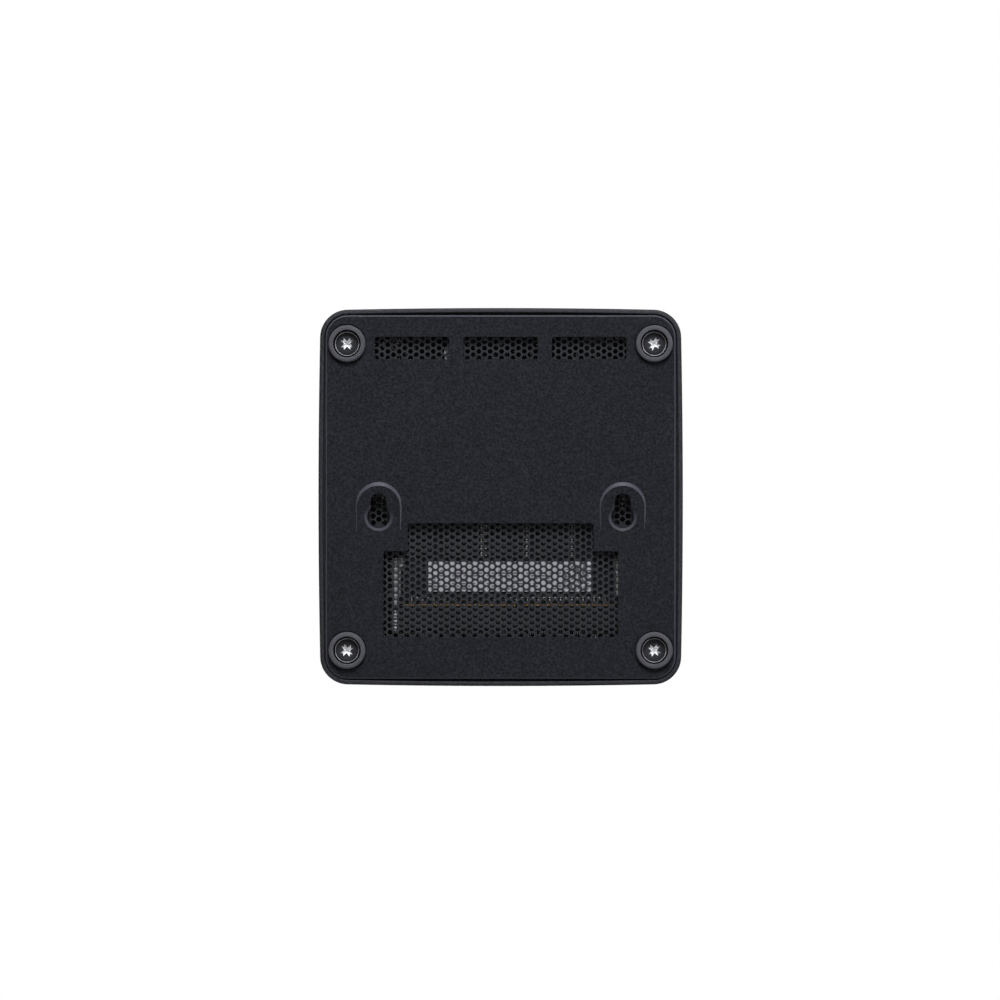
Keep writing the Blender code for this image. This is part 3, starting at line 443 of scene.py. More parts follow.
def perforate(
    outline: Array, centres: Array, radius: float, low: float, high: float, lip: float, sides: int = 12
) -> Shape:
    """A flat sheet with round holes, each with a countersunk lower edge.

    The web between the holes is the constrained Delaunay triangulation of the outline and all the hole
    polygons, less the triangles whose middle lies within a hole or outside the outline. The same triangles
    make both faces.

    Args:
        outline: The sheet's outline.
        centres: Middle of each hole.
        radius: Radius of the holes.
        low: Height of the lower face.
        high: Height of the upper face.
        lip: Size of the countersink.
        sides: Sides of each hole.

    Returns:
        The sheet.
    """
    unit = ring(1.0, sides)
    wide = (centres[:, None] + unit[None] * (radius + lip)).reshape(-1, 2)
    tight = (centres[:, None] + unit[None] * radius).reshape(-1, 2)
    rim = len(outline)
    around = np.arange(rim)
    holes = rim + np.arange(len(wide)).reshape(-1, sides)
    loops = np.concatenate(
        [
            np.stack([around, np.roll(around, -1)], 1),
            np.stack([holes, np.roll(holes, -1, 1)], 2).reshape(-1, 2)
        ]
    )
    flat = np.concatenate([outline, wide])
    found = delaunay_2d_cdt([Vector(p) for p in flat / MM], loops.tolist(), [], 1, MEETING_MM, True)
    source = np.array([ids[0] for ids in found[3]])
    triangles = source[np.array(found[2])]
    middle = flat[triangles].mean(1)
    gap = np.sqrt(((middle[:, None] - centres[None]) ** 2).sum(2)).min(1)
    triangles = triangles[(gap > (radius + lip) * math.cos(math.pi / sides)) & within(outline, middle)]
    shape = Shape()
    total = rim + len(wide)
    points = [lift(flat, low), lift(np.concatenate([outline, tight]), high), lift(tight, low + lip)]
    hole_top, hole_mid = holes + total, holes - rim + 2 * total

    def wall(lower: Array, upper: Array) -> Array:
        """The quads between loops of point numbers."""
        quads = [lower, upper, np.roll(upper, -1, -1), np.roll(lower, -1, -1)]
        return np.stack(quads, -1).reshape(-1, 4)

    walls = np.concatenate(
        [wall(holes, hole_mid), wall(hole_mid, hole_top), wall(around, around + total)[:, [0, 3, 2, 1]]]
    )
    shape.add(np.concatenate(points), [triangles[:, ::-1], triangles + total, walls])
    return shape


def room_around(outline: Array, points: Array) -> Array:
    """Distance of each point from the nearest side of an outline.

    It is measured to the point's foot on the side, held between the side's ends.
    """
    side = np.roll(outline, -1, 0) - outline
    share = np.clip(((points[:, None] - outline) * side).sum(2) / (side**2).sum(1), 0.0, 1.0)
    foot = outline + share[..., None] * side
    return np.sqrt(((points[:, None] - foot) ** 2).sum(2)).min(1)


def within(outline: Array, points: Array) -> Array:
    """Whether each point lies inside an outline: a ray along +X from it crosses an odd number of sides."""
    start, end = outline, np.roll(outline, -1, 0)
    x, y = points[:, :1], points[:, 1:]
    spans = (start[:, 1] > y) != (end[:, 1] > y)
    rise = np.where(end[:, 1] == start[:, 1], 1.0, end[:, 1] - start[:, 1])
    crossing = start[:, 0] + (y - start[:, 1]) * (end[:, 0] - start[:, 0]) / rise
    return (spans & (x < crossing)).sum(1) % 2 == 1


def hexagonal_grid(low: Pair, high: Pair, start: Pair, column: float, row: float) -> Array:
    """Middles of holes in columns a step apart, every other column half a row further on.

    Args:
        low: Lowest x and y that a middle may have.
        high: Highest x and y that a middle may have.
        start: A hole that the grid goes through.
        column: Distance between columns.
        row: Distance between rows in a column.

    Returns:
        One row for each hole.
    """
    reach = int(max(high[0] - low[0], high[1] - low[1]) / min(column, row)) + 2
    i, j = np.meshgrid(np.arange(-reach, reach + 1), np.arange(-reach, reach + 1), indexing="ij")
    x = start[0] + i * column
    y = start[1] + (j + 0.5 * (i % 2)) * row
    kept = (x >= low[0]) & (x <= high[0]) & (y >= low[1]) & (y <= high[1])
    return np.stack([x[kept], y[kept]], 1)


# ------------------------------------------------------------
# Shared effects, each a node group that is built once
# ------------------------------------------------------------


class Nodes:
    """Short ways to add nodes to a tree and link them."""

    def __init__(self, tree: bpy.types.NodeTree) -> None:
        """Works on one tree."""
        self.tree = tree

    def add(self, kind: str, settings: dict[str, object] | None = None, **values: object) -> bpy.types.Node:
        """A new node with its properties set, and values or links on its named inputs.

        Args:
            kind: The node's type name.
            settings: Properties of the node.
            values: A number, colour or output socket for each input, with _ for a space in its name.

        Returns:
            The node.
        """
        node = self.tree.nodes.new(kind)
        for name, value in (settings or {}).items():
            setattr(node, name, value)
        for name, value in values.items():
            self.put(node.inputs[name.replace("_", " ")], value)
        return node

    def put(self, socket: bpy.types.NodeSocket, value: object) -> None:
        """Links an output to the socket, or sets its value."""
        if isinstance(value, bpy.types.NodeSocket):
            self.tree.links.new(value, socket)
        else:
            socket.default_value = value

    def math(
        self, operation: str, first: object, second: object = 0.5, third: object = 0.5
    ) -> bpy.types.NodeSocket:
        """The result of a Math node."""
        node = self.tree.nodes.new("ShaderNodeMath")
        node.operation = operation
        for socket, value in zip(node.inputs, (first, second, third)):
            self.put(socket, value)
        return node.outputs[0]

    def spread(
        self, value: object, low: float, high: float, to_low: float, to_high: float
    ) -> bpy.types.NodeSocket:
        """A value's range mapped on to another range, held within it."""
        node = self.add(
            "ShaderNodeMapRange", {"clamp": True},
            Value=value, From_Min=low, From_Max=high, To_Min=to_low, To_Max=to_high,
        )
        return node.outputs[0]

    def mix(self, share: object, first: object, second: object) -> bpy.types.NodeSocket:
        """Two colours mixed by a share."""
        node = self.tree.nodes.new("ShaderNodeMix")
        node.data_type = "RGBA"
        self.put(node.inputs[0], share)
        self.put(node.inputs[6], first)
        self.put(node.inputs[7], second)
        return node.outputs[2]

    def noise(self, where: object, detail: float, roughness: float = 0.5) -> bpy.types.NodeSocket:
        """Cloudy noise at some coordinates."""
        node = self.add("ShaderNodeTexNoise", Vector=where, Scale=1.0, Detail=detail, Roughness=roughness)
        return node.outputs[0]

    def group(self, tree: bpy.types.NodeTree, **values: float) -> bpy.types.NodeOutputs:
        """The outputs of a node that uses a group."""
        return self.add("ShaderNodeGroup", {"node_tree": tree}, **values).outputs

    def place(self, size: object = 1.0, stretch: Triple = (1.0, 1.0, 1.0)) -> bpy.types.NodeSocket:
        """Object coordinates divided by a size and stretched along each axis."""
        coordinates = self.add("ShaderNodeTexCoord").outputs["Object"]
        scaled = self.add("ShaderNodeVectorMath", {"operation": "MULTIPLY"})
        self.put(scaled.inputs[0], coordinates)
        self.put(scaled.inputs[1], stretch)
        if isinstance(size, float) and size == 1.0:
            return scaled.outputs[0]
        share = self.math("DIVIDE", 1.0, size)
        grown = self.add("ShaderNodeVectorMath", {"operation": "SCALE"})
        self.put(grown.inputs[0], scaled.outputs[0])
        self.put(grown.inputs["Scale"], share)
        return grown.outputs[0]


def colour4(colour: Colour) -> tuple[float, float, float, float]:
    """A colour with full alpha."""
    return (*colour, 1.0)


class Effects:
    """The node groups that the finishes share, each built the first time that it is asked for."""

    @staticmethod
    def _new(
        name: str, inputs: dict[str, float], outputs: Sequence[str]
    ) -> tuple[Nodes, bpy.types.NodeOutputs, bpy.types.NodeInputs]:
        """An empty group with float inputs and outputs.

        Args:
            name: The group's name.
            inputs: Each input's name and value to start with.
            outputs: Each output's name.

        Returns:
            The nodes to add to, what the group is given and what it has to give.
        """
        tree = bpy.data.node_groups.new(name, "ShaderNodeTree")
        kind = "NodeSocketFloat"
        for label, value in inputs.items():
            given = tree.interface.new_socket(label, in_out="INPUT", socket_type=kind)
            given.default_value = value
        for label in outputs:
            tree.interface.new_socket(label, in_out="OUTPUT", socket_type=kind)
        start, end = tree.nodes.new("NodeGroupInput"), tree.nodes.new("NodeGroupOutput")
        return Nodes(tree), start.outputs, end.inputs

    @cached_property
    def grain(self) -> bpy.types.NodeTree:
        """Spark-eroded grain: pits and ridges of one size, speckle from them, and broad clouds."""
        nodes, given, out = self._new(
            "spark_grain", {"Size": 0.0006, "Cloud Size": 0.02}, ("Height", "Speckle", "Cloud")
        )
        where = nodes.place(given["Size"])
        ridges = nodes.noise(where, 3.0, 0.62)
        cells = nodes.add(
            "ShaderNodeTexVoronoi", {"feature": "SMOOTH_F1"}, Vector=where, Scale=0.8, Smoothness=0.35
        )
        both = nodes.math("MULTIPLY_ADD", cells.outputs["Distance"], 0.55, ridges)
        cloud = nodes.noise(nodes.place(given["Cloud Size"]), 2.0)
        nodes.put(out["Height"], both)
        nodes.put(out["Speckle"], nodes.spread(both, 0.45, 1.15, 0.0, 1.0))
        nodes.put(out["Cloud"], nodes.spread(cloud, 0.3, 0.7, 0.0, 1.0))
        return nodes.tree

    @cached_property
    def ridge_wear_and_highlight(self) -> bpy.types.NodeTree:
        """Ridge mask for edge wear and painted highlight: 1 on a sharp ridge, broken up by noise."""
        nodes, given, out = self._new("edge_wear_and_highlight", {"Reach": 0.06, "Break Up": 0.0012}, ("Mask",))
        ridge = nodes.add("ShaderNodeNewGeometry").outputs["Pointiness"]
        high = nodes.math("ADD", 0.5, given["Reach"])
        worn_and_lit = nodes.spread(ridge, 0.505, high, 0.0, 1.0)
        rough = nodes.noise(nodes.place(given["Break Up"]), 3.0)
        broken = nodes.spread(rough, 0.35, 0.62, 0.15, 1.0)
        nodes.put(out["Mask"], nodes.math("MULTIPLY", worn_and_lit, broken))
        return nodes.tree

    @cached_property
    def dust(self) -> bpy.types.NodeTree:
        """Dust: 1 where the surface faces up and a cloud of fine specks lies on it."""
        nodes, given, out = self._new("fine_dust", {"Speck": 0.0007, "Amount": 0.3}, ("Mask",))
        normal = nodes.add("ShaderNodeNewGeometry").outputs["Normal"]
        up = nodes.add("ShaderNodeSeparateXYZ", Vector=normal).outputs["Z"]
        facing = nodes.spread(up, 0.2, 1.0, 0.0, 1.0)
        specks = nodes.spread(nodes.noise(nodes.place(given["Speck"]), 4.0, 0.7), 0.5, 0.72, 0.0, 1.0)
        drifts = nodes.spread(nodes.noise(nodes.place(0.018), 2.0), 0.35, 0.7, 0.2, 1.0)
        lying = nodes.math("MULTIPLY", facing, nodes.math("MULTIPLY", specks, drifts))
        nodes.put(out["Mask"], nodes.math("MULTIPLY", lying, given["Amount"]))
        return nodes.tree

    @cached_property
    def brushed(self) -> bpy.types.NodeTree:
        """Drawn metal: fine streaks along X, with smudges over them."""
        nodes, given, out = self._new("drawn_metal", {"Size": 0.0002}, ("Streak", "Smudge"))
        streak = nodes.noise(nodes.place(given["Size"], (0.06, 1.0, 1.0)), 4.0, 0.6)
        smudge = nodes.noise(nodes.place(0.004), 3.0)
        nodes.put(out["Streak"], nodes.spread(streak, 0.3, 0.7, 0.0, 1.0))
        nodes.put(out["Smudge"], nodes.spread(smudge, 0.35, 0.68, 0.0, 1.0))
        return nodes.tree


EFFECTS = Effects()
DUST: Colour = (0.35, 0.34, 0.32)


# ------------------------------------------------------------
# Finishes
# ------------------------------------------------------------


@dataclass(frozen=True)
class Finish:
    """A surface finish, worked out from its own sizes and colours."""

    name: str
    colour: Colour
    second: Colour
    roughness: float = 0.5
    roughness_spread: float = 0.12
    metallic: float = 0.0
    specular: float = 0.5

    @property
    def limits(self) -> Pair:
        """The lowest and highest roughness."""
        half = self.roughness_spread / 2
        return self.roughness - half, self.roughness + half

    def build(self) -> bpy.types.Material:
        """The finish as a material, built once."""
        found = bpy.data.materials.get(self.name)
        if found:
            return found
        material = bpy.data.materials.new(self.name)
        material.use_nodes = True
        material.diffuse_color = colour4(self.colour)
        nodes = Nodes(material.node_tree)
        shader = material.node_tree.nodes["Principled BSDF"]
        shader.inputs["Metallic"].default_value = self.metallic
        shader.inputs["Specular IOR Level"].default_value = self.specular
        self.paint(nodes, shader)
        return material

    def paint(self, nodes: Nodes, shader: bpy.types.Node) -> None:
        """Sets the shader's colour, roughness and bump. Each kind of finish says how."""
        raise NotImplementedError

    def bump(
        self, nodes: Nodes, shader: bpy.types.Node, height: object, distance: float, strength: float = 1.0
    ) -> None:
        """A Bump node from a height to the shader's Normal."""
        node = nodes.add("ShaderNodeBump", Strength=strength, Distance=distance, Height=height)
        nodes.put(shader.inputs["Normal"], node.outputs["Normal"])


@dataclass(frozen=True)
class MouldedPlastic(Finish):
    """Spark-eroded or plain moulded plastic, rubber and paint, with ridges lightened partly as wear and
    partly as a painted highlight, and a little dust.
    """

    grain_size: float = 0.0006
    grain_height: float = 0.00003
    speckle: float = 1.0
    worn_and_lit: Colour = (0.12, 0.12, 0.13)
    ridge_wear_and_highlight: float = 0.25
    dust: float = 0.05

    def paint(self, nodes: Nodes, shader: bpy.types.Node) -> None:
        """Grain speckles the colour and bumps the surface, the ridge mask lightens the ridges as wear and as
        a painted highlight, dust lies on top.

        A finish with no ridge lightening leaves the ridge mask out, since a broad flat face would smear it
        along its triangles.
        """
        grain = nodes.group(EFFECTS.grain, Size=self.grain_size)
        dust = nodes.group(EFFECTS.dust, Amount=self.dust)
        share = nodes.math("MULTIPLY", grain["Speckle"], self.speckle)
        base = nodes.mix(share, colour4(self.colour), colour4(self.second))
        deeper = colour4(tuple(0.8 * c for c in self.colour))
        base = nodes.mix(nodes.math("MULTIPLY", grain["Cloud"], 0.12), base, deeper)
        rough = nodes.spread(grain["Cloud"], 0.0, 1.0, *self.limits)
        # Ridges are lightened towards a pale colour: partly wear, partly a painted highlight along the edges.
        if self.ridge_wear_and_highlight:
            ridge = nodes.group(EFFECTS.ridge_wear_and_highlight)["Mask"]
            base = nodes.mix(nodes.math("MULTIPLY", ridge, self.ridge_wear_and_highlight), base, colour4(self.worn_and_lit))
            rough = nodes.math("SUBTRACT", rough, nodes.math("MULTIPLY", ridge, 0.12))
        nodes.put(shader.inputs["Base Color"], nodes.mix(dust["Mask"], base, colour4(DUST)))
        nodes.put(shader.inputs["Roughness"], rough)
        self.bump(nodes, shader, grain["Height"], self.grain_height)


@dataclass(frozen=True)
class Metal(Finish):
    """Plated, drawn, milled or blackened metal."""

    metallic: float = 1.0
    streak: float = 0.000004
    size: float = 0.0002
    worn_and_lit: Colour = (0.75, 0.74, 0.72)
    ridge_wear_and_highlight: float = 0.0

    def paint(self, nodes: Nodes, shader: bpy.types.Node) -> None:
        """Streaks vary the roughness and the surface, smudges vary the colour, wear bares the ridges."""
        drawn = nodes.group(EFFECTS.brushed, Size=self.size)
        base = nodes.mix(drawn["Smudge"], colour4(self.colour), colour4(self.second))
        if self.ridge_wear_and_highlight:
            ridge = nodes.group(EFFECTS.ridge_wear_and_highlight)["Mask"]
            base = nodes.mix(nodes.math("MULTIPLY", ridge, self.ridge_wear_and_highlight), base, colour4(self.worn_and_lit))
        nodes.put(shader.inputs["Base Color"], base)
        smudge = nodes.math("MULTIPLY", drawn["Smudge"], 0.4)
        both = nodes.math("MULTIPLY_ADD", drawn["Streak"], 0.6, smudge)
        nodes.put(shader.inputs["Roughness"], nodes.spread(both, 0.0, 1.0, *self.limits))
        self.bump(nodes, shader, drawn["Streak"], self.streak)


@dataclass(frozen=True)
class SolderMask(Finish):
    """A circuit board: tracks under a lacquer, and bare pads at their crossings."""

    pad: Colour = (0.13, 0.12, 0.10)
    track_size: float = 0.0021

    def paint(self, nodes: Nodes, shader: bpy.types.Node) -> None:
        """Tracks are the narrow borders between square cells. Vias are dots in a part of the cells."""
        where = nodes.place(self.track_size)
        cells = nodes.add(
            "ShaderNodeTexVoronoi", {"distance": "CHEBYCHEV", "feature": "F1"}, Vector=where, Scale=1.0,
            Randomness=0.85
        )
        edges = nodes.add(
            "ShaderNodeTexVoronoi", {"feature": "DISTANCE_TO_EDGE"}, Vector=where, Scale=1.0, Randomness=0.85
        )
        track = nodes.spread(edges.outputs["Distance"], 0.03, 0.07, 1.0, 0.0)
        via = nodes.spread(cells.outputs["Distance"], 0.05, 0.09, 1.0, 0.0)
        lacquer = nodes.mix(track, colour4(self.colour), colour4(self.second))
        nodes.put(shader.inputs["Base Color"], nodes.mix(via, lacquer, colour4(self.pad)))
        fine = nodes.noise(nodes.place(0.0009), 3.0)
        nodes.put(shader.inputs["Roughness"], nodes.spread(fine, 0.3, 0.7, *self.limits))
        self.bump(nodes, shader, nodes.math("ADD", track, via), 0.00003)


@dataclass(frozen=True)
class PrintedPaper(Finish):
    """An off-white sticker with grey dashes and a block of random squares, none of which can be read."""

    ink: Colour = (0.05, 0.05, 0.06)
    code_centre: Pair = (0.0, 0.0)
    code_half: float = 0.004
    rows_low: float = 0.0
    rows_high: float = 0.0
    rows_per_mm: float = 1.25

    def paint(self, nodes: Nodes, shader: bpy.types.Node) -> None:
        """Dashes are long cells darkened at random in one band, and the block is small ones."""
        split = nodes.add("ShaderNodeSeparateXYZ", Vector=nodes.place())
        x, y = split.outputs["X"], split.outputs["Y"]

        def inside(value: bpy.types.NodeSocket, low: float, high: float) -> bpy.types.NodeSocket:
            """1 where a value lies between two limits."""
            return nodes.math(
                "MULTIPLY", nodes.math("GREATER_THAN", value, low), nodes.math("LESS_THAN", value, high)
            )

        def cells(stretch: Triple, share: float) -> bpy.types.NodeSocket:
            """1 in a share of the cells of a grid."""
            floor = nodes.add("ShaderNodeVectorMath", {"operation": "FLOOR"})
            nodes.put(floor.inputs[0], nodes.place(MM, stretch))
            noise = nodes.add("ShaderNodeTexWhiteNoise", Vector=floor.outputs[0])
            return nodes.math("LESS_THAN", noise.outputs["Value"], share)

        dashes = cells((1.4, self.rows_per_mm, 0.0), 0.42)
        band = nodes.math("MULTIPLY", inside(y, self.rows_low, self.rows_high), dashes)
        row = nodes.math("FRACT", nodes.math("MULTIPLY", y, self.rows_per_mm / MM))
        line = nodes.math("MULTIPLY", band, nodes.math("GREATER_THAN", row, 0.4))
        cx, cy = self.code_centre
        across = inside(x, cx - self.code_half, cx + self.code_half)
        along = inside(y, cy - self.code_half, cy + self.code_half)
        square = nodes.math("MULTIPLY", across, along)
        code = nodes.math("MULTIPLY", square, cells((2.4, 2.4, 0.0), 0.55))
        clear = nodes.math("MULTIPLY", line, nodes.math("SUBTRACT", 1.0, square))
        marks = nodes.math("MAXIMUM", clear, code)
        fibre = nodes.noise(nodes.place(0.0004), 4.0)
        paper = nodes.mix(fibre, colour4(self.colour), colour4(self.second))
        printed = nodes.mix(nodes.math("MULTIPLY", marks, 0.85), paper, colour4(self.ink))
        nodes.put(shader.inputs["Base Color"], printed)
        nodes.put(shader.inputs["Roughness"], nodes.spread(fibre, 0.3, 0.7, *self.limits))
        self.bump(nodes, shader, fibre, 0.00001)


@dataclass(frozen=True)
class ClearPlastic(Finish):
    """Clear moulded plastic with faint flow marks."""

    def paint(self, nodes: Nodes, shader: bpy.types.Node) -> None:
        """Flow marks vary the tint, the roughness and the surface a little."""
        shader.inputs["Transmission Weight"].default_value = 0.8
        flow = nodes.noise(nodes.place(0.0015), 2.0)
        tint = nodes.mix(flow, colour4(self.colour), colour4(self.second))
        rough = nodes.spread(flow, 0.3, 0.7, self.roughness, self.roughness + self.roughness_spread)
        nodes.put(shader.inputs["Base Color"], tint)
        nodes.put(shader.inputs["Roughness"], rough)
        self.bump(nodes, shader, flow, 0.00002)


CASE = MouldedPlastic(
    "case_plastic", (0.0016, 0.0018, 0.0030), (0.0175, 0.0182, 0.0230), 0.66, 0.04, specular=0.10,
    grain_height=0.00007, dust=0.012, ridge_wear_and_highlight=0.0,
)
SHELL = MouldedPlastic(
    "shell_plastic", (0.0065, 0.0068, 0.0085), (0.0260, 0.0268, 0.0320), 0.58, 0.05, specular=0.22,
    grain_height=0.00006, dust=0.015, ridge_wear_and_highlight=0.0,
)
# The edge finish is smoother and glossier than the plate, and its colour is lighter as a painted highlight
# along chamfers, pad flanks, keyhole funnels and every rounded cut edge.
CASE_EDGE_GLOSS_AND_HIGHLIGHT = MouldedPlastic(
    "case_plastic_smooth_painted_highlight", (0.040, 0.041, 0.052), (0.050, 0.051, 0.062), 0.34, 0.06, specular=0.6,
    grain_height=0.000004, speckle=0.4, dust=0.01,
)
SHEET = MouldedPlastic(
    "vent_sheet_paint", (0.0075, 0.0080, 0.0100), (0.0140, 0.0146, 0.0175), 0.5, 0.08, specular=0.22,
    grain_size=0.0004, grain_height=0.00001, worn_and_lit=(0.05, 0.05, 0.055), ridge_wear_and_highlight=0.30, dust=0.01,
)
# The foot ring's strongly lightened ridges are a painted highlight along its outer rim, as well as wear.
RUBBER = MouldedPlastic(
    "foot_rubber", (0.052, 0.052, 0.062), (0.085, 0.085, 0.098), 0.58, 0.1,
    grain_size=0.00035, grain_height=0.000014, worn_and_lit=(0.20, 0.20, 0.22), ridge_wear_and_highlight=0.6, dust=0.01,
)
BLACK = MouldedPlastic(
    "black_moulding", (0.007, 0.007, 0.0075), (0.013, 0.013, 0.014), 0.42, 0.1, specular=0.4,
    grain_size=0.0003, grain_height=0.000006, dust=0.01,
)
EPOXY = MouldedPlastic(
    "chip_epoxy", (0.008, 0.008, 0.009), (0.017, 0.017, 0.019), 0.5, 0.1, specular=0.35,
    grain_size=0.00018, grain_height=0.000006, dust=0.0,
)
BLUE = MouldedPlastic(
    "contact_carrier_blue", (0.01, 0.06, 0.30), (0.012, 0.075, 0.36), 0.4, 0.1, grain_height=0.000004
)
CERAMIC = MouldedPlastic(
    "small_part_ceramic", (0.070, 0.050, 0.032), (0.11, 0.08, 0.055), 0.45, 0.1,
    grain_size=0.0002, grain_height=0.000004, dust=0.0,
)
BLACK_STEEL = Metal(
    "black_steel", (0.0008, 0.0008, 0.0010), (0.0015, 0.0015, 0.0017), 0.5, 0.1, 0.0, 0.03
)
# A pale finish for the flat land on each screw head's rim: a painted highlight, a bright ring where the edge
# would catch the light.
SCREW_RIM_HIGHLIGHT = Metal("screw_rim_painted_highlight", (0.50, 0.50, 0.52), (0.30, 0.30, 0.31), 0.36, 0.12, 0.2)
BRIGHT = Metal("nickel_plate", (0.64, 0.64, 0.645), (0.54, 0.538, 0.53), 0.42, 0.14, 0.85)
RECESS = Metal("screw_recess", (0.78, 0.78, 0.79), (0.60, 0.60, 0.61), 0.5, 0.12, 0.0, size=0.0001)
TINNED = Metal("tinned_contact", (0.72, 0.72, 0.74), (0.58, 0.58, 0.60), 0.4, 0.12, 0.25)
GOLD = Metal("gold_plate", (0.90, 0.56, 0.20), (0.78, 0.46, 0.15), 0.42, 0.12, 0.75)
BRASS = Metal("turned_brass", (0.64, 0.46, 0.20), (0.54, 0.37, 0.15), 0.3, 0.14)
ALUMINIUM = Metal("milled_aluminium", (0.50, 0.51, 0.53), (0.42, 0.43, 0.45), 0.42, 0.16)
BOARD = SolderMask(
    "board_lacquer", (0.0035, 0.0050, 0.0052), (0.0060, 0.0085, 0.0085), 0.36, 0.08, specular=0.35
)
MODULE = SolderMask(
    "module_lacquer", (0.0040, 0.0055, 0.0060), (0.0070, 0.0095, 0.0100), 0.36, 0.08, specular=0.35,
    track_size=0.0012,
)
CLEAR = ClearPlastic("light_pipe_clear", (0.78, 0.84, 0.9), (0.7, 0.77, 0.84), 0.12, 0.1)


def paint(made: bpy.types.Object, finishes: Sequence[Finish]) -> None:
    """Gives an object one material for each finish. Every face keeps its slot."""
    chosen = np.zeros(len(made.data.polygons), np.int32)
    made.data.polygons.foreach_get("material_index", chosen)
    made.data.materials.clear()
    for finish in finishes:
        made.data.materials.append(finish.build())
    made.data.polygons.foreach_set("material_index", chosen)


def dress(
    made: bpy.types.Object, finishes: Sequence[Finish], slot: str, body: str, *nodes: str
) -> bpy.types.Object:
    """Finishes a new piece, puts it on its body and hides the CAD nodes that it replaces.

    Args:
        made: The piece.
        finishes: One finish for each of its material slots.
        slot: The record's material slot; not used.
        body: The body that it rides on.
        nodes: The CAD nodes that it replaces.

    Returns:
        The piece.
    """
    paint(made, finishes)
    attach(made, body)
    if nodes:
        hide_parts(*nodes)
    LOG.info("%s: %d faces, on %s", made.name, len(made.data.polygons), body)
    return made


def coat(frame: dict, node: str, finish: Finish) -> None:
    """Gives a CAD node that stays in view a procedural finish."""
    paint(frame["nodes"][node], [finish])


def span(node: str) -> tuple[Array, Array]:
    """A CAD node's lowest and highest corners as arrays."""
    low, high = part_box(node)
    return np.array(low), np.array(high)


def middle(node: str) -> Array:
    """The middle of a CAD node's box."""
    low, high = span(node)
    return (low + high) / 2


# ------------------------------------------------------------
# The case
# ------------------------------------------------------------


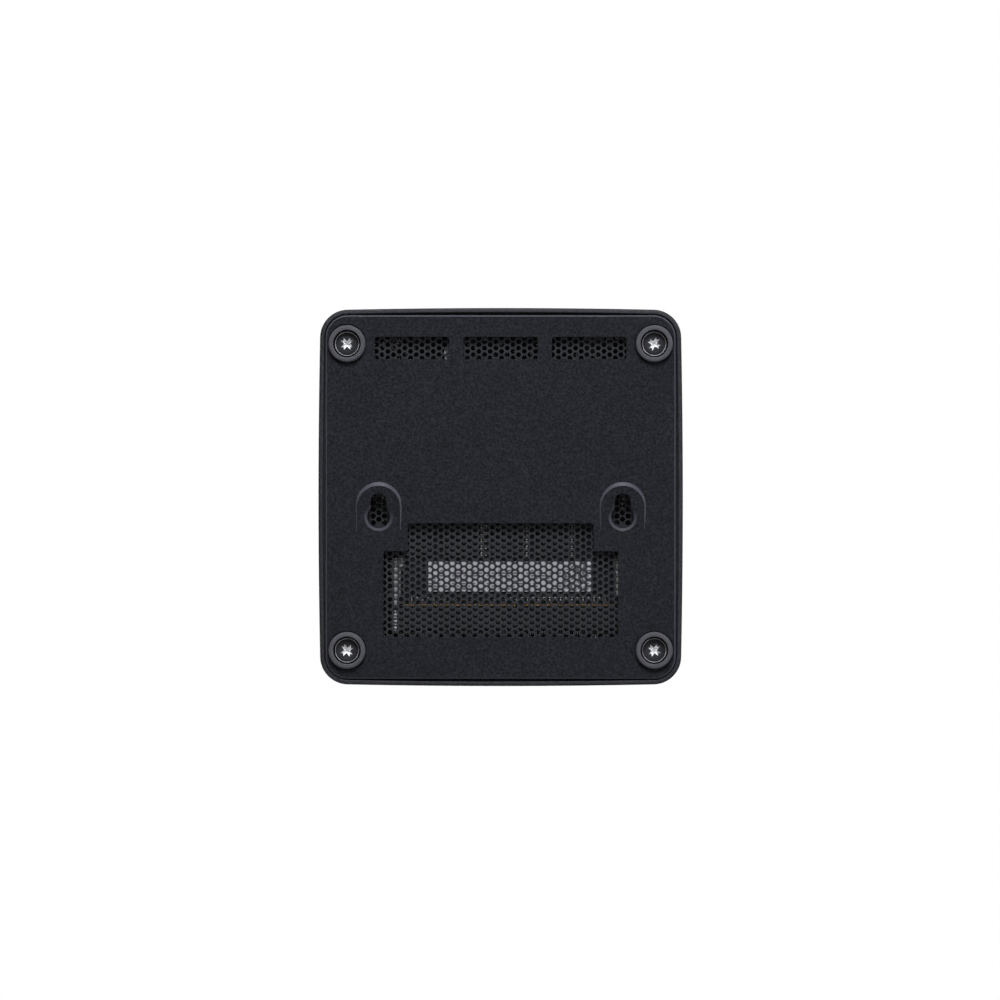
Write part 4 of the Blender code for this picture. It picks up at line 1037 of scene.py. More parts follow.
@dataclass
class TopShell:
    """The moulded top: crowned sides, rounded edges, louvres, socket openings and the posts inside."""

    crown: float = 0.0005
    corner: float = 0.0086
    wall: float = 0.0021
    roof: float = 0.0022
    rim_band: float = 0.0014
    rim_round: float = 0.0008
    rim_edge: float = 0.0002
    top_round: float = 0.0030
    rebate: float = 0.0026
    louvre: float = 0.0024
    louvre_pitch: float = 0.0052
    louvre_count: int = 13
    louvre_drop: float = 0.0023
    louvre_height: float = 0.0050
    side_louvre: Pair = (0.0155, 0.0255)
    post_low: float = 0.0115
    post_radius: float = 0.0041
    post_draft: float = 0.0004
    post_edge: float = 0.0003
    post_bore: Pair = (0.0029, 0.0154)
    standoff: Triple = (0.0024, 0.0026, 0.0028)
    standoff_gap: Pair = (0.0003, 0.0005)
    standoff_bore: Pair = (0.0013, 0.0164)
    opening_corner: float = 0.0006
    opening_edge: float = 0.0001
    cut_round: float = 0.00016
    low: Array = field(init=False)
    high: Array = field(init=False)

    def __post_init__(self) -> None:
        """Takes the shell's place from its node."""
        self.low, self.high = span("top_shell")

    def outline(self, inset: float) -> Array:
        """The crowned outline drawn in by an inset."""
        half = (self.high[0] - inset, self.high[1] - inset)
        return crowned_outline(half, self.corner - inset, self.crown, 12, 20)

    def skin(self) -> Shape:
        """Rings up the inside of the rim, over its round edge, up the side and over the top edge.

        At angle a of a quarter turn, a rounded edge of radius r is drawn in by r (1 - sin a) at
        r (1 - cos a) above its start.
        """
        rim, top, ceiling = self.low[2], self.high[2], self.high[2] - self.roof
        bead, over = self.rim_round, self.top_round
        turn = np.linspace(0.0, QUARTER, 7)
        inside = [
            (self.wall, ceiling), (self.wall, rim + self.rebate), (self.rim_band, rim + self.rebate),
            (self.rim_band, rim + self.rim_edge), (self.rim_band - self.rim_edge, rim),
        ]
        below = [(bead * (1 - math.sin(a)), rim + bead * (1 - math.cos(a))) for a in turn[1:]]
        above = [(over * (1 - math.cos(a)), top - over * (1 - math.sin(a))) for a in turn]
        shape = Shape()
        shape.loft([lift(self.outline(inset), z) for inset, z in inside + below + above])
        return shape

    def posts(self, screws: Sequence[Pair], standoffs: Sequence[Pair], board_top: float) -> Shape:
        """A post at each corner and a standoff over each board screw, sunk into the roof."""
        end = self.high[2] - self.roof / 2
        radius, edge = self.post_radius, self.post_edge
        post = [
            (radius - edge, self.post_low), (radius, self.post_low + edge), (radius + self.post_draft, end)
        ]
        levels = (*(board_top + gap for gap in self.standoff_gap), end)
        shape = Shape()
        for centre in screws:
            shape.turned(post, 32, centre)
        for centre in standoffs:
            shape.turned(list(zip(self.standoff, levels)), 24, centre)
        return shape

    def openings(self, ports: Sequence[Socket], button: Pair, light: Pair, level: float) -> Shape:
        """Round-cornered tools through the walls for sockets, louvres, the button and the light pipe."""
        tool = Shape()

        def limits(side: int, out: float) -> tuple[float, float]:
            """Where a tool starts and ends across a wall that stands some way out."""
            near, far = sorted((side * (out + self.wall), side * (out - 2 * self.wall)))
            return near, far

        bores = [(x, level, radius) for x, radius in (button, light)]
        for port in ports:
            low, high = span(port.node)
            near, far = limits(1 if port.rear else -1, self.high[1])
            if port.kind is Kind.AUDIO:
                x, _, z = (low + high) / 2
                bores.append((x, z, (high[2] - low[2]) / 2))
                continue
            gap = port.clearance
            tool.block(
                (low[0] - gap, near, low[2] - gap), (high[0] + gap, far, high[2] + gap),
                self.opening_corner, self.opening_edge, axis=Axis.Y
            )
        half = self.louvre / 2
        top = self.high[2] - self.roof - self.louvre_drop
        for step in np.arange(self.louvre_count) - (self.louvre_count - 1) / 2:
            left, right = step * self.louvre_pitch - half, step * self.louvre_pitch + half
            near, far = limits(1, self.high[1])
            tool.block(
                (left, near, top - self.louvre_height), (right, far, top), self.louvre / 3,
                self.opening_edge, axis=Axis.Y
            )
            for side in (-1, 1):
                near, far = limits(side, self.high[0])
                tool.block(
                    (near, left, self.side_louvre[0]), (far, right, self.side_louvre[1]),
                    self.louvre / 2.4, self.opening_edge, axis=Axis.X
                )
        near, far = limits(-1, self.high[1])
        for x, z, radius in bores:
            hole = Shape()
            hole.turned([(radius, near), (radius, far)], 48, (x, z))
            hole.flip()
            tool.merge(hole, lambda p: p[:, [0, 2, 1]])
        return tool

    def build(
        self, screws: Sequence[Pair], ports: Sequence[Socket], button: Pair, light: Pair, level: float
    ) -> None:
        """Makes the shell, joins its posts, cuts its openings and softens every cut edge."""
        standoffs = [tuple(middle(f"board_screw_{index}")[:2]) for index in range(1, 5)]
        board_top = span("mainboard")[1][2]
        made = self.skin().make("case_top_shell")
        carve(made, self.posts(screws, standoffs, board_top), "UNION")
        bores = Shape()
        for centres, start, (radius, end), steps in (
            (screws, self.post_low, self.post_bore, 32), (standoffs, board_top, self.standoff_bore, 20)
        ):
            for centre in centres:
                bores.turned([(radius, start - MM), (radius, end)], steps, centre)
        carve(made, bores, "DIFFERENCE")
        carve(made, self.openings(ports, button, light, level), "DIFFERENCE")
        soften(made, self.cut_round)
        dress(made, [SHELL], "top_shell", "chassis", "top_shell")


@dataclass
class BottomCover:
    """The screwed cover: a chamfered plate with vents, hooded keyhole pads, foot seats and bosses."""

    corner: float = 0.0068
    chamfer: float = 0.0004
    vent_corner: float = 0.0009
    vent_size: Pair = (0.0229, 0.0069)
    vent_pitch: float = 0.0272
    vent_y: float = 0.0458
    stepped: tuple[Pair, Pair, Pair] = ((0.02855, 0.03605), (-0.0430, -0.0166), (-0.0080, 0.0))
    pad_half: float = 0.00745
    pad_above: float = 0.0112
    pad_below: float = 0.0075
    pad_rise: float = 0.0009
    pad_flank: float = 0.0016
    pad_bow: float = 0.45
    entry: Pair = (0.0044, 0.0035)
    slot_half: float = 0.00245
    slot_reach: float = 0.0073
    keyhole_y: float = -0.0061
    keyhole_x: float = 0.0375
    plate_low: float = 0.0016
    plate_high: float = 0.0036
    pad_sink: float = 0.0002
    boss: tuple[Pair, ...] = ((0.0052, 0.0026), (0.0052, 0.0069), (0.0050, 0.0071))
    seat: tuple[Pair, ...] = (
        (0.0060, 0.0006), (0.0060, 0.0027), (0.0042, 0.0027), (0.0042, 0.0046), (0.0018, 0.0046),
        (0.0018, 0.0081),
    )
    cut_round: float = 0.0002
    high: Array = field(init=False)

    def __post_init__(self) -> None:
        """Takes the plate's half sizes from its node."""
        self.high = span("bottom_cover")[1]

    def vent_outline(self, grow: float = 0.0) -> Array:
        """The stepped outline of the main vent: a narrow part over a wide one, with cut corners."""
        (narrow, wide), (low, step), (top, _) = self.stepped
        narrow, wide, low, step, top = narrow + grow, wide + grow, low - grow, step + grow, top + grow
        nick = self.vent_corner * 0.6
        right = np.array([
            (wide - nick, low), (wide, low + nick), (wide, step - nick), (wide - nick, step),
            (narrow, step), (narrow, top - nick), (narrow - nick, top),
        ])
        return np.concatenate([right, right[::-1] * np.array([-1.0, 1.0])])

    def plate(self) -> Shape:
        """The plate's rings: chamfer, edge and inner face."""
        shape = Shape()
        rings = ((self.chamfer, self.plate_low), (0.0, self.plate_low + self.chamfer), (0.0, self.plate_high))
        half = self.high[:2]
        outlines = [lift(crowned_outline(half - i, self.corner - i, 0.0, 16), z) for i, z in rings]
        # The chamfer band takes slot 1, the lighter edge finish: a painted highlight round the plate's edge.
        shape.loft(outlines, slots=[1, 0], ends=(0, 0))
        return shape

    def pad_outline(self, side: float, top: float) -> Array:
        """A half circle over straight flanks that a flatter bow closes, drawn in by two insets."""
        half = self.pad_half - side
        upper = self.pad_above - top - half
        lower = self.pad_below - half * self.pad_bow
        a = np.linspace(0.0, math.pi, 33)
        arch = np.stack([half * np.cos(a), upper + half * np.sin(a)], 1)
        bow = np.stack([-half * np.cos(a), -lower - half * self.pad_bow * np.sin(a)], 1)
        return np.concatenate([arch, bow])

    def pad(self, x: float) -> Shape:
        """A pad that stands proud at its rear end and sinks level with the plate at its front.

        At share s from 0 at the plate to 1 on the face, the flank is drawn in by s of its width and rises by
        s of the height there, and the height grows with the place along Y.
        """
        buried, level = self.plate_low + MM, self.plate_low + self.pad_sink
        rings = [lift(self.pad_outline(0, 0), buried)]
        for s in np.linspace(0.0, 1.0, 6):
            flat = self.pad_outline(self.pad_flank / 2 * s, self.pad_flank * s)
            along = (flat[:, 1] + self.pad_below) / (self.pad_above + self.pad_below - self.pad_flank * s)
            drop = (self.pad_rise + self.pad_sink) * along * s + self.pad_sink * (s - 1)
            rings.append(lift(flat, level - drop))
        place = np.array([x, self.keyhole_y, 0.0])
        shape = Shape()
        # The flank bands take slot 1, the lighter edge finish: a painted highlight round the pad. Its face
        # keeps the plate's finish.
        shape.loft([band + place for band in rings[::-1]], slots=[1] * (len(rings) - 1), ends=(0, 1))
        return shape

    def keyhole(self, x: float) -> tuple[Shape, Shape]:
        """The entry's funnel and the slot behind it."""
        wide, throat = self.entry
        below, above = self.plate_low - self.pad_rise - 0.001, self.plate_high + 0.001
        entry = Shape()
        # The funnel bands take slot 1, the lighter edge finish: a painted highlight round the entry.
        entry.turned(
            [
                (wide, below), (wide, self.plate_low - 0.0001), (throat, self.plate_low + 0.0009),
                (throat, above)
            ],
            48, (x, self.keyhole_y), slots=[1, 1, 0],
        )
        a = np.linspace(0.0, math.pi, 25)
        end = self.keyhole_y + self.slot_reach - self.slot_half
        arch = np.stack([x + self.slot_half * np.cos(a), end + self.slot_half * np.sin(a)], 1)
        outline = np.concatenate(
            [[(x - self.slot_half, self.keyhole_y), (x + self.slot_half, self.keyhole_y)], arch]
        )
        slot = Shape()
        slot.loft([lift(outline, below), lift(outline, above)])
        return entry, slot

    def build(self, screws: Sequence[Pair]) -> None:
        """Makes the cover and softens its cut edges."""
        made = self.plate().make("case_bottom_cover")
        paint(made, [CASE, CASE_EDGE_GLOSS_AND_HIGHLIGHT])
        added = Shape()
        for centre in screws:
            added.turned(self.boss, 40, centre)
        for side in (-1, 1):
            added.merge(self.pad(side * self.keyhole_x))
        carve(made, added, "UNION")
        entries, slots = Shape(), Shape()
        for side in (-1, 1):
            entry, slot = self.keyhole(side * self.keyhole_x)
            entries.merge(entry)
            slots.merge(slot)
        carve(made, entries, "DIFFERENCE")
        carve(made, slots, "DIFFERENCE")
        windows, outlines = Shape(), []
        for index in (-1, 0, 1):
            centre = (index * self.vent_pitch, self.vent_y)
            outlines.append(
                crowned_outline(np.array(self.vent_size) / 2, self.vent_corner, 0.0, 5, 1, centre)
            )
        for outline in (*outlines, self.vent_outline()):
            windows.loft([lift(outline, self.plate_low - MM), lift(outline, self.plate_high + MM)])
        carve(made, windows, "DIFFERENCE")
        seats = Shape()
        for centre in screws:
            seats.turned(self.seat, 48, centre)
        carve(made, seats, "DIFFERENCE")
        # Every rounded cut edge takes slot 1, the lighter edge finish: a painted highlight along windows,
        # seats and keyholes.
        soften(made, self.cut_round, slot=1)
        dress(made, [CASE, CASE_EDGE_GLOSS_AND_HIGHLIGHT], "bottom_cover", "cover", "bottom_cover")


@dataclass
class VentSheets:
    """The punched sheets behind the vents and the pressed cups behind the keyholes."""

    column: float = 0.001749
    row: float = 0.002025
    hole: float = 0.00073
    lip: float = 0.00007
    start: Pair = (0.02183, -0.02235)
    rear_start: Pair = (0.0347, 0.0468)
    margin: float = 0.0011
    clearance: float = 0.00004
    cup_hole: float = 0.00080
    cup_wall: float = 0.0005
    cup_start: float = -0.0007
    cup_reach: Pair = (0.0022, 0.0068)

    def sheet(
        self, node: str, outline: Array, name: str, start: Pair, keep: Callable[[Array], Array]
    ) -> None:
        """One punched sheet over its node's place.

        Args:
            node: The CAD node.
            outline: The sheet's outline.
            name: The piece's name.
            start: A hole that the grid goes through.
            keep: Says which holes stay, from all their middles.
        """
        low, high = span(node)
        inner_low, inner_high = low[:2] + self.margin, high[:2] - self.margin
        centres = hexagonal_grid(tuple(inner_low), tuple(inner_high), start, self.column, self.row)
        centres = centres[keep(centres)]
        centres = centres[room_around(outline, centres) > self.hole + self.lip + self.clearance]
        shape = perforate(outline, centres, self.hole, low[2], high[2], self.lip)
        dress(shape.make(name, 30.0), [SHEET], "vent_mesh", "cover", node)

    def build(self, cover: BottomCover) -> None:
        """Makes both sheets and both cups."""
        lap = span("main_vent_mesh")[1][0] - cover.stepped[0][1]
        (narrow, _), (_, step), _ = cover.stepped
        edge = lap - self.margin
        self.sheet(
            "main_vent_mesh", cover.vent_outline(lap), "vent_sheet_main", self.start,
            lambda c: (c[:, 1] < step + edge) | (np.abs(c[:, 0]) < narrow + edge),
        )
        low, high = span("rear_vent_mesh")
        half = ((high[0] - low[0]) / 2, (high[1] - low[1]) / 2)
        outline = crowned_outline(half, cover.vent_corner, 0.0, 4, 1, (0.0, (low[1] + high[1]) / 2))
        self.sheet(
            "rear_vent_mesh", outline, "vent_sheet_rear", self.rear_start, lambda c: np.full(len(c), True)
        )
        for side, label in ((-1, "left"), (1, "right")):
            self.cup(label, side * cover.keyhole_x, cover)

    def cup(self, label: str, x: float, cover: BottomCover) -> None:
        """A pan with a flat rim and a floor that is punched only behind the slot."""
        node = f"keyhole_cup_{label}"
        low, high = span(node)
        wall = self.cup_wall
        centre, half = (low[:2] + high[:2]) / 2, (high[:2] - low[:2]) / 2
        corner = half[0] / 2
        side, (front, rear) = self.column * 1.2, self.cup_reach
        grid = hexagonal_grid(
            (x - side, cover.keyhole_y - front), (x + side, cover.keyhole_y + rear),
            (x, self.cup_start), self.column * 0.97, self.row * 1.02,
        )
        inner = crowned_outline(tuple(half - wall), corner - wall, 0.0, 8, 1, tuple(centre))
        floor = perforate(inner, grid, self.cup_hole, high[2] - wall, high[2], self.lip)
        rim = Shape()
        outer = crowned_outline(tuple(half), corner, 0.0, 8, 1, tuple(centre))
        tight = crowned_outline(tuple(half - wall + 0.00002), corner - wall, 0.0, 8, 1, tuple(centre))
        rim.loft(
            [lift(outer, low[2]), lift(outer, high[2]), lift(tight, high[2]), lift(tight, low[2])], caps=False
        )
        floor.merge(rim)
        dress(floor.make(f"keyhole_pan_{label}", 30.0), [SHEET], "vent_mesh", "cover", node)


@dataclass
class ScrewedFoot:
    """A ring foot with the cover screw in it, the ring that keeps the screw captive and its insert."""

    place: str
    centre: Pair
    turn: float
    inner: float = 0.0042
    outer: float = 0.0057
    seat: float = 0.0024
    head: float = 0.00375
    head_low: float = 0.0025
    head_high: float = 0.0043
    shank: float = 0.0015
    shank_top: float = 0.0145
    pitch: float = 0.0005
    foot_edge: float = 0.0003
    foot_shoulder: float = 0.0007
    flank: float = 0.00010
    land: float = 0.00015
    rim_step: float = 0.00005
    bore: float = 0.0018
    knurl: float = 0.00012

    def foot(self) -> None:
        """The rubber ring: a flat seat, a moulded step and a softly rounded tread."""
        a = np.linspace(0.0, QUARTER, 6)
        edge, shoulder = self.foot_edge, self.foot_shoulder
        inside = np.stack([self.inner + edge * (1 - np.cos(a)), edge * (1 - np.sin(a))], 1)
        outside = np.stack([self.outer - shoulder + shoulder * np.sin(a), shoulder * (1 - np.cos(a))], 1)
        profile = [
            (self.inner, self.seat), *map(tuple, inside), *map(tuple, outside), (self.outer, self.seat)
        ]
        shape = Shape()
        shape.turned(profile[::-1], 64, self.centre, caps=False)
        shape.flip()
        # The rubber's lightened ridges paint a highlight round the ring's rim, as well as wear.
        dress(shape.make(f"foot_ring_{self.place}"), [RUBBER], "foot_rubber", "cover", f"foot_{self.place}")

    def cross(self) -> Shape:
        """The recess: four arms with forked ends, narrower at the bottom than at the mouth."""
        arm = np.array([
            (0.00200, -0.00060), (0.00152, -0.00014), (0.00152, 0.00014), (0.00200, 0.00060),
            (0.00060, 0.00060),
        ])
        angles = np.arange(4) * QUARTER + math.radians(self.turn)
        cos, sin = np.cos(angles)[:, None], np.sin(angles)[:, None]
        outline = np.stack(
            [arm[:, 0] * cos - arm[:, 1] * sin, arm[:, 0] * sin + arm[:, 1] * cos], 2
        ).reshape(-1, 2)
        shape = Shape()
        shrink = (
            (1.0, self.head_low - 0.0004), (1.0, self.head_low), (0.86, self.head_low + 0.0005),
            (0.50, self.head_low + 0.0008), (0.22, self.head_low + 0.0013),
        )
        shape.loft([lift(outline * scale + np.array(self.centre), z) for scale, z in shrink], slots=[1] * 4)
        return shape

    def screw(self) -> None:
        """A pan head with a turned rim, a cross recess, and a shank with a thread.

        The thread's radius is the shank's at every other half pitch, and a thread's depth less between them.
        """
        turn = np.linspace(0.0, QUARTER, 6)
        edge, step = self.head - self.flank - self.land, self.head_low + self.rim_step
        profile = [(self.head * 0.35, self.head_low), (edge - 0.00008, self.head_low), (edge, step)]
        profile += [
            (edge + self.land + self.flank * math.sin(t), step + self.flank * (1 - math.cos(t))) for t in turn
        ]
        profile += [
            (self.head, self.head_high - 0.0001), (self.head - 0.00015, self.head_high),
            (self.shank, self.head_high)
        ]
        heights = np.arange(self.head_high + 0.006, self.shank_top - 0.0004, self.pitch / 2)
        profile += [
            (self.shank - 0.00022, self.head_high + 0.0002), (self.shank - 0.00022, heights[0] - 0.0001)
        ]
        profile += [(self.shank - (0.00024 if i % 2 else 0.0), float(z)) for i, z in enumerate(heights)]
        profile += [(self.shank - 0.0004, self.shank_top)]
        # Bands 2 to 4, the flat land and the start of the rim's round, take slot 2: a painted highlight ring.
        slots = [2 if index in (2, 3, 4) else 0 for index in range(len(profile))]
        shape = Shape()
        shape.turned(profile, 64, self.centre, slots=slots[:-1])
        made = shape.make(f"cover_screw_dressed_{self.place}")
        finishes = [BLACK_STEEL, RECESS, SCREW_RIM_HIGHLIGHT]
        paint(made, finishes)
        carve(made, self.cross(), "DIFFERENCE")
        dress(made, finishes, "black_steel", f"screw_{self.place}", f"cover_screw_{self.place}")

    def hardware(self) -> None:
        """The captive ring and the knurled insert, each a closed profile carried round the screw."""
        node = f"screw_retainer_{self.place}"
        low, high = span(node)
        outer, inner = (high[0] - low[0]) / 2, self.bore
        c = 0.0001
        profile = [
            (outer - c, low[2]), (outer, low[2] + c), (outer, high[2] - c), (outer - c, high[2]),
            (inner + c, high[2]), (inner, high[2] - c), (inner, low[2] + c), (inner + c, low[2]),
        ]
        rings = Shape()
        rings.turned(profile, 40, self.centre, caps=False)
        made = rings.make(f"captive_ring_{self.place}")
        dress(made, [BLACK_STEEL], "black_steel", f"retainer_{self.place}", node)
        node = f"threaded_insert_{self.place}"
        low, high = span(node)
        outer = (high[0] - low[0]) / 2
        steps = 96
        tooth = np.where(np.arange(steps) % 2, self.knurl, 0.0)
        unit = ring(1.0, steps)

        def band(radius: float, z: float, share: float) -> Array:
            """A ring whose every other point is drawn in by a share of the knurl's depth."""
            return lift(unit * (radius - tooth * share)[:, None] + np.array(self.centre), z)

        third = (high[2] - low[2]) / 3
        levels = [
            (outer - 0.0002, low[2], 0), (outer, low[2] + 0.0001, 1), (outer, low[2] + third, 1),
            (outer - 0.0003, low[2] + third * 1.15, 0), (outer - 0.0003, low[2] + third * 1.85, 0),
            (outer, low[2] + third * 2, 1), (outer, high[2] - 0.0001, 1), (outer - 0.0002, high[2], 0),
            (inner, high[2], 0), (inner, low[2], 0),
        ]
        knurled = Shape()
        knurled.loft([band(*level) for level in levels], caps=False)
        dress(knurled.make(f"knurled_insert_{self.place}", 25.0), [BRASS], "brass", "chassis", node)

    def build(self) -> None:
        """Makes the foot, the screw and its hardware."""
        self.foot()
        self.screw()
        self.hardware()


# ------------------------------------------------------------
# Sockets and front controls
# ------------------------------------------------------------


class Kind(Enum):
    """What a socket takes."""

    USB = "usb"
    USB_C = "usb_c"
    VIDEO = "video"
    NETWORK = "network"
    AUDIO = "audio"
    POWER = "power"


@dataclass(frozen=True)
class Tongue:
    """The carrier inside a plated socket and its contact rows, measured from the socket's middle.

    Attributes:
        half: Half the carrier's width.
        near: Where the carrier starts, from the mouth.
        levels: Heights of its lower and upper face.
        edge: Chamfer at its ends.
        count: Contacts in a row.
        pitch: Distance between contacts.
        width: Width of a contact.
        rows: Height of the lower face of each row.
        thick: Thickness of a contact.
        start: Where the contacts start, from the mouth.
    """

    half: float
    near: float
    levels: Pair
    edge: float
    count: int
    pitch: float
    width: float
    rows: tuple[float, ...]
    thick: float
    start: float


TONGUES: dict[Kind, Tongue] = {
    Kind.USB: Tongue(
        0.0056, 0.0010, (0.0004, 0.0022), 0.0003, 4, 0.0024, 0.0010, (0.00018,), 0.00024, 0.0018
    ),
    Kind.VIDEO: Tongue(
        0.0055, 0.0008, (-0.0006, 0.0006), 0.0002, 10, 0.0010, 0.00045, (-0.00072, 0.00056), 0.00016, 0.0014
    ),
    Kind.USB_C: Tongue(
        0.0031, 0.0007, (-0.00035, 0.00035), 0.0002, 12, 0.0005, 0.00025, (-0.00045, 0.00033), 0.00012,
        0.0012,
    ),
}


@dataclass
class Socket:
    """A socket in the front or rear wall, modelled as looking along +Y and turned round for the rear."""

    node: str
    kind: Kind
    rear: bool
    clearance: float = 0.00035
    shell: float = 0.0005
    narrow: float = 0.15
    nose: float = 0.0030
    hollow: float = 0.72

    def frame(self) -> tuple[float, float, float, float, float]:
        """Middle x, middle z, half width, half height and depth, from the node's box."""
        low, high = span(self.node)
        x, _, z = middle(self.node)
        half_x, _, half_z = (high - low) / 2
        return x, z, half_x, half_z, high[1] - low[1]

    def tube(
        self, outer: Pair, inner: Pair, corner: float, depth: float, floor: float,
        slots: Sequence[int] = (0, 0, 0, 0, 0, 0)
    ) -> Shape:
        """A blind tube along +Y from its mouth at 0: outside, a rolled lip, then the inside down to a floor.

        Args:
            outer: Outer half sizes.
            inner: Inner half sizes.
            corner: Outer corner radius.
            depth: Length of the outside.
            floor: Depth of the hollow.
            slots: Material slots of the six bands.

        Returns:
            The tube, with x across, y along and z up.
        """
        wall = min(outer[0] - inner[0], outer[1] - inner[1])
        lip = wall / 3
        tight = max(corner - wall, corner / 3)
        levels = [
            (outer, corner, depth), (outer, corner, lip),
            ((outer[0] - lip, outer[1] - lip), corner - lip, 0.0),
            ((inner[0] + lip, inner[1] + lip), tight + lip, 0.0), (inner, tight, lip),
            (inner, tight, floor * 0.5), (inner, tight, floor),
        ]
        rings = [np.insert(crowned_outline(half, r, 0.0, 5), 1, y, 1) for half, r, y in levels]
        for band in rings if self.kind is Kind.VIDEO else ():
            below = np.clip(-band[:, 2] / outer[1] - 0.1, 0.0, 1.0)
            band[:, 0] *= 1.0 - self.narrow * below
        shape = Shape()
        shape.loft(rings, slots=list(slots))
        return shape

    def finish(self, shape: Shape, finishes: Sequence[Finish], slot: str) -> None:
        """Moves the socket to its wall, turns a rear one round, and dresses it."""
        x, z, _, _, _ = self.frame()
        low, high = span(self.node)
        end = -1.0 if self.rear else 1.0
        face = high[1] if self.rear else low[1]
        moved = Shape()
        moved.merge(shape, lambda p: p * np.array([end, end, 1.0]) + np.array([x, face, z]))
        made = moved.make(f"{self.node}_socket", 30.0)
        dress(made, finishes, slot, "chassis", self.node)

    def contacts(
        self, count: int, pitch: float, width: float, low: float, high: float, near: float, far: float,
        slot: int = 2
    ) -> Shape:
        """A row of contact strips across X."""
        strip = Shape()
        strip.block(
            (-width / 2, near, low), (width / 2, far, high), width / 5, width / 8, slot, axis=Axis.Y, arc=2
        )
        row = Shape()
        offsets = np.zeros((count, 3))
        offsets[:, 0] = (np.arange(count) - (count - 1) / 2) * pitch
        row.repeat(strip, offsets)
        return row

    def build(self) -> None:
        """Makes the socket of its kind."""
        _, _, half_x, half_z, depth = self.frame()
        floor = depth * self.hollow
        if self.kind in TONGUES:
            corner = {Kind.USB: 0.0007, Kind.VIDEO: 0.0012, Kind.USB_C: half_z - 0.00005}[self.kind]
            inner = (half_x - self.shell, half_z - self.shell)
            shape = self.tube((half_x, half_z), inner, corner, depth, floor)
            shape.merge(self.tongue(floor))
            if self.kind is Kind.USB:
                shape.merge(self.springs(inner))
            carrier = BLUE if self.kind is Kind.USB and self.rear else BLACK
            self.finish(shape, [BRIGHT, carrier, GOLD], "bright_metal")
            return
        if self.kind is Kind.NETWORK:
            shape = self.tube((half_x, half_z), (0.0067, 0.0058), 0.0005, depth, floor, (0, 0, 0, 1, 1, 1))
            shape.merge(self.contacts(8, 0.00102, 0.00045, 0.0034, 0.0037, 0.0022, floor * 0.9))
            shape.block((-0.0030, 0.0003, -0.0058), (0.0030, 0.0012, -0.0049), 0.0002, 0.0002, 1, axis=Axis.Y)
            for side in (-1, 1):
                left, right = side * 0.0052 - 0.0012, side * 0.0052 + 0.0012
                shape.block(
                    (left, 0.0002, -0.0064), (right, 0.0010, -0.0052), 0.0003, 0.0001, 3, axis=Axis.Y
                )
            self.finish(shape, [BRIGHT, BLACK, GOLD, CLEAR], "bright_metal")
            return
        radius = 0.0019 if self.kind is Kind.AUDIO else 0.0031
        shape = self.round_socket(half_x, half_z, depth, radius, floor)
        self.finish(shape, [BLACK, BRIGHT, GOLD], "black_plastic")

    def tongue(self, floor: float) -> Shape:
        """The carrier of a plated socket, from near its mouth into its floor, with its contacts."""
        given = TONGUES[self.kind]
        low, high = given.levels
        shape = Shape()
        shape.block(
            (-given.half, given.near, low), (given.half, floor + 0.0004, high), 0.0002, given.edge, 1,
            axis=Axis.Y
        )
        for row in given.rows:
            shape.merge(
                self.contacts(
                    given.count, given.pitch, given.width, row, row + given.thick, given.start, floor * 0.8
                )
            )
        return shape

    def springs(self, inner: Pair) -> Shape:
        """Four bowed contact springs on the shell's long walls."""
        leaf = Shape()
        t = np.linspace(0.0, 1.0, 9)
        bow = 0.0004 * np.sin(math.pi * t)
        for side in (-1, 1):
            along = 0.0012 + 0.0052 * t
            for end in (-1, 1):
                level = end * (inner[1] - 0.00002) - end * bow
                back = level + end * 0.00016
                left, right = side * inner[0] * 0.5 - 0.0009, side * inner[0] * 0.5 + 0.0009
                rings = [
                    np.array([(left, y, a), (right, y, a), (right, y, b), (left, y, b)])
                    for y, a, b in zip(along, np.minimum(level, back), np.maximum(level, back))
                ]
                leaf.loft(rings[::-1], 0)
        return leaf

    def round_socket(self, half_x: float, half_z: float, depth: float, radius: float, floor: float) -> Shape:
        """A block with a round hole: a plated collar round the mouth, and a pin in a power socket.

        An audio socket reaches its opening as a round nose, whose block starts behind the wall.
        """
        shape = Shape()
        unit = ring(1.0, 40)
        stretch = 1.0 / np.maximum(np.abs(unit[:, 0]) / half_x, np.abs(unit[:, 1]) / half_z)
        squared = unit * stretch[:, None]
        collar = radius + 0.0008

        def level(points: Array, y: float) -> Array:
            """Points across X and Z at one depth."""
            return np.insert(points, 1, y, 1)

        lip = unit * (collar + 0.0003)
        if self.kind is Kind.AUDIO:
            front = [level(squared, self.nose), level(lip, self.nose), level(lip, 0.0)]
        else:
            front = [level(squared, 0.0002), level(squared * 0.96, 0.0), level(lip, 0.0)]
        mouth = [
            level(unit * collar, 0.00012), level(unit * (radius + 0.00012), 0.00012),
            level(unit * radius, 0.00030), level(unit * radius, floor),
        ]
        shape.loft([level(squared, depth), *front, *mouth], slots=[0, 0, 0, 0, 1, 1, 0])
        if self.kind is Kind.POWER:
            pin = [(0.00095, floor + 0.0004), (0.00095, 0.0022), (0.0007, 0.0016), (0.0003, 0.0014)]
            shape.loft([level(unit[::2] * r, y) for r, y in pin], 1)
        return shape


